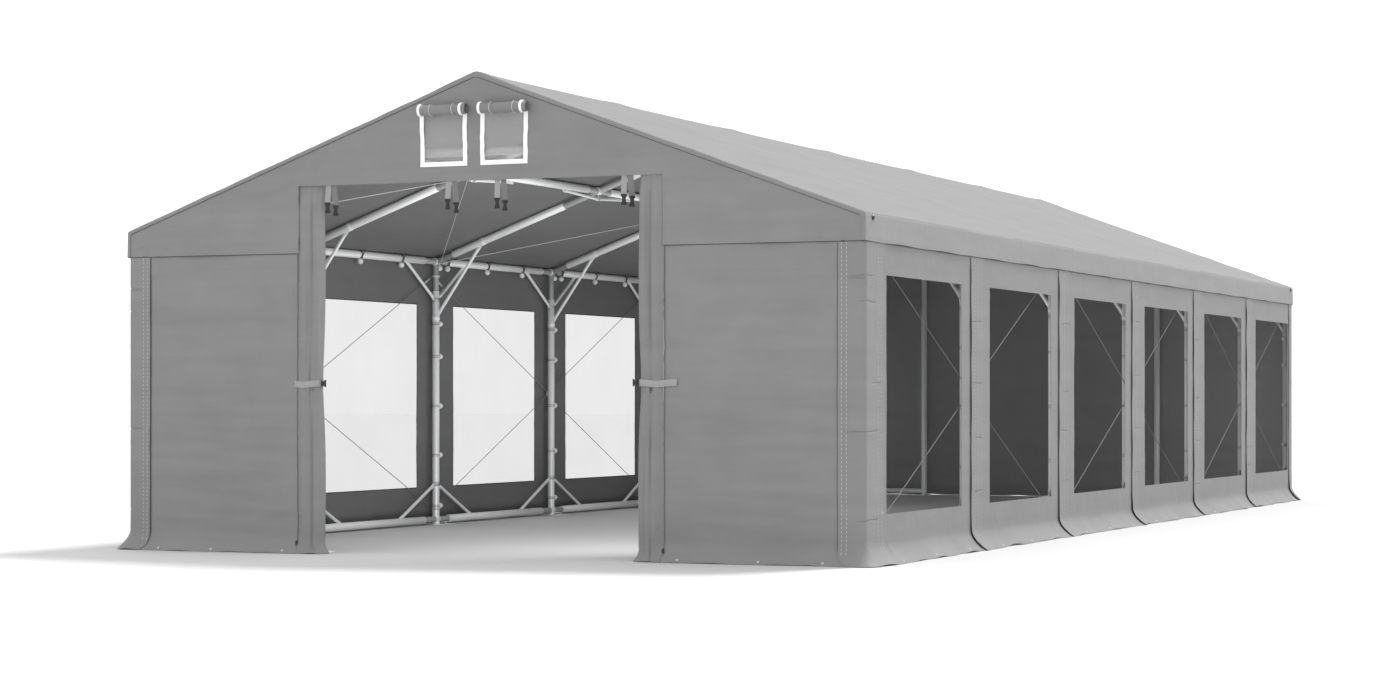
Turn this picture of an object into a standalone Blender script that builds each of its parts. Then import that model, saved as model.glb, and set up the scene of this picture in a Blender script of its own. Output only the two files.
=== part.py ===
"""Marquee tent: steel portal frames, one roof sheet, window walls and a tied-back front entrance.

Units are metres. The front entrance faces -Y, the ridge runs along Y and the ground is Z = 0.
Every sheet lies in a layer counted inwards from the outer face, one clearance apart.
"""

import math

import bmesh
import bpy
from mathutils import Vector

# Tent layout
BAY_COUNT = 6
BAY_LENGTH = 2.0
TENT_WIDTH = 5.0
EAVE_HEIGHT = 2.025
RIDGE_HEIGHT = 2.935

# Sheets
SHEET = 0.004
FILM = 0.002
MESH_SHEET = 0.002
CLEARANCE = 0.0003

# Roof sheet edges
VALANCE_DROP = 0.162
VERGE_WIDTH = 0.040
WALL_TOP_BELOW_EAVE = 0.040
FLAP_TOP_OVERLAP = 0.050

# Wall skirts that spread over the ground
SKIRT_HEIGHT = 0.120
SKIRT_TURN = 0.030
SIDE_SPREAD = 0.100
END_SPREAD = 0.050

# Side wall windows and the strips that cover the panel joints
WINDOW_START = 0.377
WINDOW_END_MARGIN = 0.212
WINDOW_BOTTOM = 0.289
WINDOW_TOP = 1.678
FILM_MARGIN = 0.030
STRIP_WIDTH = 0.250
STRIP_OVERLAP = 0.030

# Flaps that wrap the four corners
FRONT_FLAP_END_WIDTH = 0.170
FRONT_FLAP_SIDE_WIDTH = 0.350
REAR_FLAP_END_WIDTH = 0.350
REAR_FLAP_SIDE_WIDTH = 0.170

# Entrance
DOOR_WIDTH = 2.470
LINTEL_HEIGHT = 2.278
ZIP_GAP = 0.005
DOOR_TOP_OVERLAP = 0.022

# Tied-back curtains
CURTAIN_WIDTH = 0.170
CURTAIN_BULGE = 0.020
CURTAIN_WAIST_PULL = 0.016
CURTAIN_WAIST_REACH = 0.350
CURTAIN_BACK_GAP = 0.006
TIE_HEIGHT = 1.055
TIE_WIDTH = 0.040
TIE_REACH = 0.090
WEBBING = 0.0025
BUCKLE_LENGTH = 0.034
BUCKLE_DEPTH = 0.012

# Hanging straps behind the lintel
STRAP_WIDTH = 0.034
STRAP_PITCH = 0.041
STRAP_DROP = 0.185
STRAP_BAND = 0.030
STRAP_INNER = 0.146
STRAP_OUTER = 0.985

# Vents in both gables
VENT_SPACING = 0.090
VENT_WIDTH = 0.264
VENT_BOTTOM = 2.398
VENT_HEIGHT = 0.270
VENT_BORDER = 0.028
ROLL_RADIUS = 0.033
ROLL_LENGTH = 0.345
ROLL_HEIGHT = 2.720
ROLL_SIDES = 12

# Steel tubes, each radius measured to the flats
TUBE_RADIUS = 0.028
STUB_RADIUS = 0.0235
RAIL_STUB_RADIUS = 0.0225
SLEEVE_RADIUS = 0.0275
SLEEVE_LENGTH = 0.060
BRACE_RADIUS = 0.012
LIGHT_BRACE_RADIUS = 0.010
CABLE_RADIUS = 0.003
TUBE_SIDES = 6
BRACE_SIDES = 6
CABLE_SIDES = 4

# Portal frames
POST_INSET = 0.060
FRAME_INSET = 0.050
POST_STUB = 0.238
RAFTER_STUB = 0.160
RAFTER_DROP = 0.001
MID_PURLIN_X = 1.065
MID_STUB_DOWN = 0.279
MID_STUB_UP = 0.265
RIDGE_STUB = 0.150
RAIL_STUB = 0.190
KNEE_DROP = 0.445
KNEE_REACH = 0.405
EAVE_BRACE_DROP = 0.305
EAVE_BRACE_REACH = 0.500
BASE_BRACE_HEIGHT = 0.310
BASE_BRACE_REACH = 0.600
PURLIN_BRACE_DROP = 0.060
PURLIN_BRACE_REACH = 0.600
BASE_RAIL_HEIGHT = 0.040
GABLE_POST_X = 1.190
COLLAR_RADIUS = 0.026
COLLAR_DROP = 0.010

# Foot plates
PLATE_THICKNESS = 0.006
PLATE_WIDTH = 0.140
PLATE_LENGTH = 0.240
PLATE_EDGE = 0.030

# Bracing cables
CABLE_TOP_DROP = 0.125
CABLE_MIDDLE = 1.006
CABLE_BOTTOM = 0.120
CABLE_CLAMP = 0.040
CLAMP_THICKNESS = 0.005
CLAMP_CABLE_STEP = 0.010
ROOF_CABLE_EAVE_STEP = 0.040
ROOF_CABLE_MID_STEP = 0.040

# Sizes worked out from the values above
HALF_WIDTH = TENT_WIDTH / 2
HALF_LENGTH = BAY_COUNT * BAY_LENGTH / 2
SLOPE = (RIDGE_HEIGHT - EAVE_HEIGHT) / HALF_WIDTH
PITCH = math.atan(SLOPE)
LAYER = SHEET + CLEARANCE
AXIS_DEPTH = SHEET + CLEARANCE + TUBE_RADIUS
RAFTER_DEPTH = AXIS_DEPTH + RAFTER_DROP
RIDGE_DEPTH = SHEET + CLEARANCE + TUBE_RADIUS / math.cos(math.pi / TUBE_SIDES)
VALANCE_BOTTOM = EAVE_HEIGHT - VALANCE_DROP
WALL_TOP = EAVE_HEIGHT - WALL_TOP_BELOW_EAVE
FLAP_TOP = VALANCE_BOTTOM + FLAP_TOP_OVERLAP
HALF_DOOR = DOOR_WIDTH / 2
POST_X = HALF_WIDTH - POST_INSET
END_FRAME_Y = HALF_LENGTH - FRAME_INSET
WALL_INNER = 2 * LAYER + SHEET
ROOF_NORMAL = Vector((math.sin(PITCH), 0, math.cos(PITCH)))
UP = Vector((0, 0, 1))
SIDES = {"left": -1, "right": 1}


def roof_z(x, depth=0.0):
    """Height of the surface that lies a given depth below the roof's outer face, above x."""
    return RIDGE_HEIGHT - SLOPE * abs(x) - depth / math.cos(PITCH)


def frame_y(index):
    """Place of a portal frame along the ridge; the end frames stand just inside the gables."""
    y = index * BAY_LENGTH - HALF_LENGTH
    return max(-END_FRAME_Y, min(END_FRAME_Y, y))


def sided_normal(side):
    """Outward normal of the roof slope on one side."""
    return Vector((side * ROOF_NORMAL.x, 0, ROOF_NORMAL.z))


# Materials

def make_material(name, colour, roughness, metallic=0.0, alpha=1.0):
    """Principled material with one colour."""
    material = bpy.data.materials.new(name)
    material.use_nodes = True
    shader = material.node_tree.nodes["Principled BSDF"]
    shader.inputs["Base Color"].default_value = (*colour, 1.0)
    shader.inputs["Roughness"].default_value = roughness
    shader.inputs["Metallic"].default_value = metallic
    shader.inputs["Alpha"].default_value = alpha
    material.diffuse_color = (*colour, alpha)
    return material


# Mesh helpers

def ring_points(centre, axis, toward, radius, sides):
    """Regular polygon around an axis, its flats at the radius and one flat facing toward."""
    axis = axis.normalized()
    flat = (toward - axis * toward.dot(axis)).normalized()
    across = axis.cross(flat)
    reach = radius / math.cos(math.pi / sides)
    turns = [2 * math.pi * (k + 0.5) / sides for k in range(sides)]
    return [centre + reach * (math.cos(a) * flat + math.sin(a) * across) for a in turns]


def add_loft(bm, rings):
    """Closed solid through rings of equal length, each turning anticlockwise about the way along."""
    loops = [[bm.verts.new(point) for point in ring] for ring in rings]
    count = len(loops[0])
    for near, far in zip(loops, loops[1:]):
        for k in range(count):
            following = (k + 1) % count
            bm.faces.new((near[k], near[following], far[following], far[k]))
    bm.faces.new(list(reversed(loops[0])))
    bm.faces.new(loops[-1])


def add_stepped_tube(bm, start, end, steps, toward, sides=TUBE_SIDES):
    """Straight tube whose radius changes: steps lists each distance along it with the radius there."""
    axis = (end - start).normalized()
    rings = [ring_points(start + axis * along, axis, toward, radius, sides) for along, radius in steps]
    add_loft(bm, rings)


def add_tube(bm, start, end, radius, toward=UP, sides=TUBE_SIDES):
    """Straight tube of one radius."""
    add_stepped_tube(bm, start, end, [(0.0, radius), ((end - start).length, radius)], toward, sides)


def add_bent_tube(bm, points, radius, toward, sides=CABLE_SIDES):
    """Tube along straight runs, mitred where they meet."""
    rings = []
    for index, point in enumerate(points):
        before = points[max(index - 1, 0)]
        after = points[min(index + 1, len(points) - 1)]
        way_in = (point - before).normalized() if index else (after - point).normalized()
        way_out = (after - point).normalized() if point != after else way_in
        mitre = (way_in + way_out).normalized()
        ring = ring_points(point, way_in, toward, radius, sides)
        slide = [(point - vertex).dot(mitre) / way_in.dot(mitre) for vertex in ring]
        rings.append([vertex + way_in * step for vertex, step in zip(ring, slide)])
    add_loft(bm, rings)


def add_box(bm, low, high):
    """Box between two corners."""
    (x0, y0, z0), (x1, y1, z1) = low, high
    base = [(x0, y0), (x1, y0), (x1, y1), (x0, y1)]
    add_loft(bm, [[Vector((x, y, z)) for x, y in base] for z in (z0, z1)])


def add_upright_panel(bm, outline, y0, y1):
    """Panel facing along Y: an outline of (x, z) points, anticlockwise seen from -Y, pulled to a depth."""
    near, far = sorted((y0, y1))
    rings = [[Vector((x, y, z)) for x, z in outline] for y in (far, near)]
    add_loft(bm, rings)


def turned_outwards(bm):
    """Make every face of closed solids point outwards."""
    bmesh.ops.recalc_face_normals(bm, faces=bm.faces)
    return bm


def make_object(name, bm, material):
    """Object with the mesh, shaded smooth between faces that turn little."""
    mesh = bpy.data.meshes.new(name)
    turned_outwards(bm).to_mesh(mesh)
    bm.free()
    return place_object(name, mesh, material)


def place_object(name, mesh, material, location=(0, 0, 0), turn=0.0):
    """Object for a mesh, which other objects may share, turned about Z and moved."""
    mesh.materials.clear()
    mesh.materials.append(material)
    mesh.shade_smooth()
    mesh.set_sharp_from_angle(angle=math.radians(50))
    obj = bpy.data.objects.new(name, mesh)
    obj.location = location
    obj.rotation_euler = (0, 0, turn)
    bpy.context.collection.objects.link(obj)
    return obj


def fused_mesh(name, solids, cutters=None):
    """One body from overlapping solids, less the cutters, as a mesh of its own."""
    base = make_object(f"{name}_base", solids[0], STEEL)
    tools = [(base, "UNION", solid) for solid in solids[1:]]
    if cutters is not None:
        tools.append((base, "DIFFERENCE", cutters))
    helpers = [base]
    for number, (target, operation, bm) in enumerate(tools):
        tool = make_object(f"{name}_tool_{number}", bm, STEEL)
        tool.hide_render = True
        tool.display_type = "WIRE"
        modifier = target.modifiers.new(operation, "BOOLEAN")
        modifier.operation = operation
        modifier.object = tool
        helpers.append(tool)
    bpy.context.view_layer.update()
    depsgraph = bpy.context.evaluated_depsgraph_get()
    mesh = bpy.data.meshes.new_from_object(base.evaluated_get(depsgraph))
    mesh.name = name
    for helper in helpers:
        bpy.data.objects.remove(helper)
    return mesh


# Roof sheet

def build_roof():
    """One sheet over both slopes with side valances and a hem folded down round each end."""
    profile = [
        (HALF_WIDTH, VALANCE_BOTTOM),
        (HALF_WIDTH, EAVE_HEIGHT),
        (0.0, RIDGE_HEIGHT),
        (-HALF_WIDTH, EAVE_HEIGHT),
        (-HALF_WIDTH, VALANCE_BOTTOM),
    ]

    def inset(index, depth):
        """Profile point moved inwards by a depth measured square to the sheet."""
        x, z = profile[index]
        if x == 0:
            return 0.0, roof_z(0.0, depth)
        side = math.copysign(1, x)
        inner_x = HALF_WIDTH - depth
        at_fold = z == EAVE_HEIGHT
        return side * inner_x, roof_z(inner_x, depth) if at_fold else z

    outer_y = HALF_LENGTH + LAYER
    inner_y = HALF_LENGTH + CLEARANCE
    section = [
        (0.0, -outer_y), (0.0, outer_y), (VERGE_WIDTH, outer_y), (VERGE_WIDTH, inner_y),
        (SHEET, inner_y), (SHEET, -inner_y), (VERGE_WIDTH, -inner_y), (VERGE_WIDTH, -outer_y),
    ]
    rings = []
    for index in range(len(profile)):
        ring = []
        for depth, y in section:
            x, z = inset(index, depth)
            ring.append(Vector((x, y, z)))
        rings.append(ring)
    bm = bmesh.new()
    add_loft(bm, rings)
    make_object("roof_cover", bm, ROOF_SHEET)


# Gables, vents and entrance

def vent_centres():
    """X of both vents in a gable."""
    step = (VENT_SPACING + 2 * VENT_BORDER + VENT_WIDTH) / 2
    return -step, step


def build_gables():
    """Both gable sheets, notched for the entrance and cut through for the vents."""
    edge = HALF_WIDTH - LAYER
    outline = [
        (edge, VALANCE_BOTTOM), (edge, roof_z(edge, LAYER)), (0.0, roof_z(0.0, LAYER)),
        (-edge, roof_z(edge, LAYER)), (-edge, VALANCE_BOTTOM), (-HALF_DOOR, VALANCE_BOTTOM),
        (-HALF_DOOR, LINTEL_HEIGHT), (HALF_DOOR, LINTEL_HEIGHT), (HALF_DOOR, VALANCE_BOTTOM),
    ]
    panel = bmesh.new()
    add_upright_panel(panel, outline, -HALF_LENGTH, -HALF_LENGTH + SHEET)
    holes = bmesh.new()
    for centre in vent_centres():
        low = (centre - VENT_WIDTH / 2, -HALF_LENGTH - SHEET, VENT_BOTTOM)
        high = (centre + VENT_WIDTH / 2, -HALF_LENGTH + 2 * SHEET, VENT_BOTTOM + VENT_HEIGHT)
        add_box(holes, low, high)
    mesh = fused_mesh("gable", [panel], holes)
    place_object("front_gable", mesh, WALL_SHEET)
    place_object("rear_gable", mesh, WALL_SHEET, turn=math.pi)


def build_vents():
    """Mesh behind the vents and the rolled-up covers above them, at both ends."""
    net = bmesh.new()
    reach = vent_centres()[1] + VENT_WIDTH / 2 + VENT_BORDER
    low = (-reach, -HALF_LENGTH + LAYER, VENT_BOTTOM - VENT_BORDER)
    high = (reach, -HALF_LENGTH + LAYER + MESH_SHEET, VENT_BOTTOM + VENT_HEIGHT + VENT_BORDER)
    add_box(net, low, high)
    net_object = make_object("front_vent_mesh", net, VENT_MESH)
    place_object("rear_vent_mesh", net_object.data, VENT_MESH, turn=math.pi)
    roll = bmesh.new()
    half = Vector((ROLL_LENGTH / 2, 0, 0))
    toward = Vector((0, 1, 0))
    add_tube(roll, -half, half, ROLL_RADIUS, toward, ROLL_SIDES)
    turned_outwards(roll)
    mesh = bpy.data.meshes.new("vent_roll")
    roll.to_mesh(mesh)
    roll.free()
    y = HALF_LENGTH + CLEARANCE + ROLL_RADIUS
    for end, along in (("front", -y), ("rear", y)):
        for name, centre in zip(SIDES, vent_centres()):
            place_object(f"{end}_vent_roll_{name}", mesh, WALL_SHEET, (centre, along, ROLL_HEIGHT))


def spread_at(z, spread):
    """How far a skirt stands out from its wall at a height."""
    turn_share = 0.55
    if z >= SKIRT_HEIGHT:
        return 0.0
    if z >= SKIRT_TURN:
        return spread * turn_share * (SKIRT_HEIGHT - z) / (SKIRT_HEIGHT - SKIRT_TURN)
    return spread * (1 - (1 - turn_share) * z / SKIRT_TURN)


def add_wall(bm, outline, top, side_spread, end_spread):
    """Upright sheet with a skirt: an outline of (x, y, side, end), the last two its way out."""
    rings = []
    for z in (0.0, SKIRT_TURN, SKIRT_HEIGHT, top):
        ring = []
        for x, y, side, end in outline:
            moved_x = x + side * spread_at(z, side_spread)
            moved_y = y + end * spread_at(z, end_spread)
            ring.append(Vector((moved_x, moved_y, z)))
        rings.append(ring)
    add_loft(bm, rings)


def build_end_walls():
    """Walls between the corners and the entrance, at both ends."""
    outer = HALF_LENGTH - 2 * LAYER
    near, far = HALF_DOOR + ZIP_GAP, HALF_WIDTH - 2 * LAYER
    for end_name, end in (("front", -1), ("rear", 1)):
        for side_name, side in SIDES.items():
            bm = bmesh.new()
            places = [(near, outer), (far, outer), (far, outer - SHEET), (near, outer - SHEET)]
            outline = [(side * x, end * y, 0, end) for x, y in places]
            add_wall(bm, outline, WALL_TOP, SIDE_SPREAD, END_SPREAD)
            make_object(f"{end_name}_wall_{side_name}", bm, WALL_SHEET)


def build_corner_flaps():
    """Flaps that wrap each corner from the end wall round to the side wall."""
    x_out, y_out = HALF_WIDTH - LAYER, HALF_LENGTH - LAYER
    x_in, y_in = x_out - SHEET, y_out - SHEET
    ends = [
        ("front", -1, FRONT_FLAP_END_WIDTH, FRONT_FLAP_SIDE_WIDTH),
        ("rear", 1, REAR_FLAP_END_WIDTH, REAR_FLAP_SIDE_WIDTH),
    ]
    for end_name, end, end_width, side_width in ends:
        x_end, y_end = HALF_WIDTH - end_width, HALF_LENGTH - side_width
        places = [
            (x_end, y_out, 0, 1), (x_out, y_out, 1, 1), (x_out, y_end, 1, 0),
            (x_in, y_end, 1, 0), (x_in, y_in, 1, 1), (x_end, y_in, 0, 1),
        ]
        for side_name, side in SIDES.items():
            bm = bmesh.new()
            outline = [(side * x, end * y, side * s, end * e) for x, y, s, e in places]
            add_wall(bm, outline, FLAP_TOP, SIDE_SPREAD, END_SPREAD)
            make_object(f"{end_name}_corner_flap_{side_name}", bm, WALL_SHEET)


def build_rear_doors():
    """Two closed door leaves that meet at the middle of the rear entrance."""
    outer = HALF_LENGTH - LAYER
    for side_name, side in SIDES.items():
        bm = bmesh.new()
        near, far = CLEARANCE / 2, HALF_DOOR
        places = [(near, outer), (far, outer), (far, outer - SHEET), (near, outer - SHEET)]
        outline = [(side * x, y, 0, 1) for x, y in places]
        add_wall(bm, outline, LINTEL_HEIGHT + DOOR_TOP_OVERLAP, SIDE_SPREAD, END_SPREAD)
        make_object(f"rear_door_{side_name}", bm, WALL_SHEET)


def curtain_section(side, z):
    """Plan of a tied-back curtain at a height, with its two front edges taken off."""
    outer = HALF_DOOR - CLEARANCE
    beyond_tie = max(abs(z - TIE_HEIGHT) - TIE_WIDTH / 2, 0)
    pull = CURTAIN_WAIST_PULL * math.exp(-(beyond_tie / CURTAIN_WAIST_REACH) ** 2)
    inner = HALF_DOOR - CURTAIN_WIDTH + pull
    back = -(END_FRAME_Y + TUBE_RADIUS + CURTAIN_BACK_GAP)
    behind_gable = z > LINTEL_HEIGHT - CURTAIN_BULGE
    front = -HALF_LENGTH + LAYER if behind_gable else -HALF_LENGTH - CURTAIN_BULGE
    edge = (back - front) / 3
    places = [(inner, back), (inner, front + edge), (inner + edge, front), (outer - edge, front),
              (outer, front + edge), (outer, back)]
    return [Vector((side * x, y, z)) for x, y in places]


def build_curtains():
    """Both entrance curtains, gathered against the sides of the doorway."""
    below = LINTEL_HEIGHT - 2 * CURTAIN_BULGE
    top = LINTEL_HEIGHT + DOOR_TOP_OVERLAP
    tie_low, tie_high = TIE_HEIGHT - TIE_WIDTH / 2, TIE_HEIGHT + TIE_WIDTH / 2
    heights = [0.0, tie_low / 2, tie_low, tie_high, (tie_high + below) / 2, below]
    heights += [LINTEL_HEIGHT - CLEARANCE, top]
    for side_name, side in SIDES.items():
        bm = bmesh.new()
        add_loft(bm, [curtain_section(side, z) for z in heights])
        make_object(f"front_curtain_{side_name}", bm, WALL_SHEET)


def grown(section, margin):
    """Plan outline moved outwards along X and Y by a margin, from the middle of its own box."""
    mid_x = (min(p.x for p in section) + max(p.x for p in section)) / 2
    mid_y = (min(p.y for p in section) + max(p.y for p in section)) / 2
    half_x = max(abs(p.x - mid_x) for p in section)
    half_y = max(abs(p.y - mid_y) for p in section)
    scale_x, scale_y = 1 + margin / half_x, 1 + margin / half_y
    return [Vector((mid_x + (p.x - mid_x) * scale_x, mid_y + (p.y - mid_y) * scale_y, 0)) for p in section]


def build_ties():
    """Webbing loop round each curtain, its tail on the end wall and its buckle on the inner edge."""
    low, high = TIE_HEIGHT - TIE_WIDTH / 2, TIE_HEIGHT + TIE_WIDTH / 2
    for side_name, side in SIDES.items():
        section = curtain_section(side, TIE_HEIGHT)
        hole = grown(section, CLEARANCE)
        loop = grown(section, CLEARANCE + WEBBING)
        loop_bm = bmesh.new()
        add_loft(loop_bm, [[Vector((p.x, p.y, z)) for p in loop] for z in (low, high)])
        front = min(p.y for p in loop)
        outer = max(abs(p.x) for p in loop)
        inner = min(abs(p.x) for p in loop)
        wall = -HALF_LENGTH + 2 * LAYER - CLEARANCE
        edge = (max(p.y for p in section) - min(p.y for p in section)) / 3
        start = outer - edge
        tail = [(start, front), (start, front + WEBBING)]
        tail += [(outer + TIE_REACH, wall), (outer + TIE_REACH, wall - WEBBING)]
        tail_bm = bmesh.new()
        add_loft(tail_bm, [[Vector((side * x, y, z)) for x, y in tail] for z in (low, high)])
        buckle_bm = bmesh.new()
        middle_y = sum(p.y for p in loop) / len(loop)
        reach = sorted((side * (inner - BUCKLE_LENGTH), side * (inner + WEBBING / 2)))
        add_box(buckle_bm, (reach[0], middle_y - BUCKLE_DEPTH / 2, low + WEBBING),
                (reach[1], middle_y + BUCKLE_DEPTH / 2, high - WEBBING))
        hole_bm = bmesh.new()
        add_loft(hole_bm, [[Vector((p.x, p.y, z)) for p in hole] for z in (low - WEBBING, high + WEBBING)])
        mesh = fused_mesh(f"tie_{side_name}", [loop_bm, tail_bm, buckle_bm], hole_bm)
        place_object(f"curtain_tie_{side_name}", mesh, WEBBING_FABRIC)


def build_hanging_straps():
    """Webbing band sewn behind the lintel with pairs of straps hanging from it."""
    top = LINTEL_HEIGHT + STRAP_BAND
    bottom = LINTEL_HEIGHT + CLEARANCE
    tip = LINTEL_HEIGHT - STRAP_DROP
    starts = []
    for pair in (-STRAP_OUTER - STRAP_PITCH, -STRAP_INNER - STRAP_PITCH, STRAP_INNER, STRAP_OUTER):
        starts += [pair, pair + STRAP_PITCH]
    first, last = starts[0] - STRAP_WIDTH / 2, starts[-1] + STRAP_WIDTH / 2
    outline = [(last, top), (first, top)]
    for centre in starts:
        left, right = centre - STRAP_WIDTH / 2, centre + STRAP_WIDTH / 2
        outline += [(left, bottom), (left, tip), (right, tip), (right, bottom)]
    outline = [point for index, point in enumerate(outline) if index not in (2, len(outline) - 1)]
    bm = bmesh.new()
    outer = -HALF_LENGTH + LAYER
    add_upright_panel(bm, outline, outer, outer + WEBBING)
    make_object("lintel_straps", bm, WEBBING_FABRIC)


# Side walls

def side_wall_mesh(name, side, first, last):
    """One bay of side wall with its window cut through and, past the first bay, its joint strip."""
    start = CLEARANCE / 2 if not first else WALL_INNER + CLEARANCE
    end = BAY_LENGTH - (CLEARANCE / 2 if not last else WALL_INNER + CLEARANCE)
    outer = HALF_WIDTH - 2 * LAYER
    inner = outer - SHEET
    if first:
        places = [(inner, start), (outer, start), (outer, end), (inner, end)]
    else:
        strip = HALF_WIDTH - LAYER
        places = [
            (inner, start), (outer, start), (outer, start + CLEARANCE),
            (outer + CLEARANCE, start + CLEARANCE), (outer + CLEARANCE, -STRIP_OVERLAP),
            (strip, -STRIP_OVERLAP), (strip, STRIP_WIDTH), (outer, STRIP_WIDTH), (outer, end), (inner, end),
        ]
    panel = bmesh.new()
    add_wall(panel, [(side * x, y, side, 0) for x, y in places], WALL_TOP, SIDE_SPREAD, END_SPREAD)
    hole = bmesh.new()
    xs = sorted((side * (inner - SHEET), side * (HALF_WIDTH + SHEET)))
    add_box(hole, (xs[0], WINDOW_START, WINDOW_BOTTOM), (xs[1], BAY_LENGTH - WINDOW_END_MARGIN, WINDOW_TOP))
    return fused_mesh(name, [panel], hole)


def build_side_walls():
    """All bays of both side walls, and the film that closes each side's windows."""
    for side_name, side in SIDES.items():
        shared = {}
        for bay in range(BAY_COUNT):
            kind = (bay == 0, bay == BAY_COUNT - 1)
            if kind not in shared:
                shared[kind] = side_wall_mesh(f"{side_name}_panel_{bay}", side, *kind)
            place = (0, bay * BAY_LENGTH - HALF_LENGTH, 0)
            place_object(f"{side_name}_wall_{bay + 1}", shared[kind], WALL_SHEET, place)
        film = bmesh.new()
        outer = HALF_WIDTH - WALL_INNER - CLEARANCE
        xs = sorted((side * (outer - FILM), side * outer))
        low = (xs[0], -HALF_LENGTH + WINDOW_START - FILM_MARGIN, WINDOW_BOTTOM - FILM_MARGIN)
        high = (xs[1], HALF_LENGTH - WINDOW_END_MARGIN + FILM_MARGIN, WINDOW_TOP + FILM_MARGIN)
        add_box(film, low, high)
        make_object(f"window_film_{side_name}", film, WINDOW_FILM)


# Steel frame

def rail_lines():
    """Each long rail's axis as name, x, z and the way its flats face."""
    lines = [("ridge_rail", 0.0, roof_z(0.0, RIDGE_DEPTH), UP)]
    for side_name, side in SIDES.items():
        for rail, x in (("eave_rail", POST_X), ("mid_purlin", MID_PURLIN_X)):
            lines.append((f"{rail}_{side_name}", side * x, roof_z(x, AXIS_DEPTH), sided_normal(side)))
        lines.append((f"base_rail_{side_name}", side * POST_X, BASE_RAIL_HEIGHT, UP))
    return lines


def build_rails():
    """Rails along the tent, thick between the frames and thinner where they pass through them."""
    reach = END_FRAME_Y + SLEEVE_LENGTH / 2
    for name, x, z, toward in rail_lines():
        steps = [(-reach, RAIL_STUB_RADIUS)]
        for bay in range(BAY_COUNT):
            start, end = frame_y(bay) + RAIL_STUB, frame_y(bay + 1) - RAIL_STUB
            steps += [(start, RAIL_STUB_RADIUS), (start, TUBE_RADIUS)]
            steps += [(end, TUBE_RADIUS), (end, RAIL_STUB_RADIUS)]
        steps.append((reach, RAIL_STUB_RADIUS))
        bm = bmesh.new()
        add_stepped_tube(bm, Vector((x, 0, z)), Vector((x, 1, z)), steps, toward)
        make_object(name, bm, STEEL)


def add_post(bm, side):
    """Corner or side post: foot plate, thick tube and thinner stub up to the eave joint."""
    eave = roof_z(POST_X, AXIS_DEPTH)
    foot = PLATE_THICKNESS / 2
    top = EAVE_HEIGHT - POST_STUB
    steps = [(foot, TUBE_RADIUS), (top, TUBE_RADIUS), (top, RAIL_STUB_RADIUS), (eave, RAIL_STUB_RADIUS)]
    start = Vector((side * POST_X, 0, 0))
    add_stepped_tube(bm, start, start + UP, steps, Vector((1, 0, 0)))


def rafter_points(side):
    """Axis of one rafter from the eave joint up to the ridge joint."""
    eave = Vector((side * POST_X, 0, roof_z(POST_X, RAFTER_DEPTH)))
    ridge = Vector((0, 0, roof_z(0.0, RAFTER_DEPTH)))
    return eave, ridge


def add_rafters(bm):
    """Both rafters as one bent tube, with thinner connectors at the eave, mid purlin and ridge joints."""
    per_x = 1 / math.cos(PITCH)
    changes = [
        (RAFTER_STUB, TUBE_RADIUS),
        ((POST_X - MID_PURLIN_X - MID_STUB_DOWN) * per_x, STUB_RADIUS),
        ((POST_X - MID_PURLIN_X + MID_STUB_UP) * per_x, TUBE_RADIUS),
        ((POST_X - RIDGE_STUB) * per_x, STUB_RADIUS),
    ]
    steps = [(0.0, STUB_RADIUS)]
    for along, radius in changes:
        steps += [(along, steps[-1][1]), (along, radius)]
    eave, ridge = rafter_points(-1)
    up_slope = (ridge - eave).normalized()
    rings = [ring_points(eave + up_slope * d, up_slope, sided_normal(-1), r, TUBE_SIDES) for d, r in steps]
    square = ring_points(ridge, up_slope, sided_normal(-1), STUB_RADIUS, TUBE_SIDES)
    rings.append([point - up_slope * (point.x / up_slope.x) for point in square])
    eave, ridge = rafter_points(1)
    up_slope = (ridge - eave).normalized()
    for d, r in reversed(steps):
        rings.append(ring_points(eave + up_slope * d, -up_slope, sided_normal(1), r, TUBE_SIDES))
    add_loft(bm, rings)


def on_rafter(side, x):
    """Point on a rafter's axis above x."""
    return Vector((side * x, 0, roof_z(x, RAFTER_DEPTH)))


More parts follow.
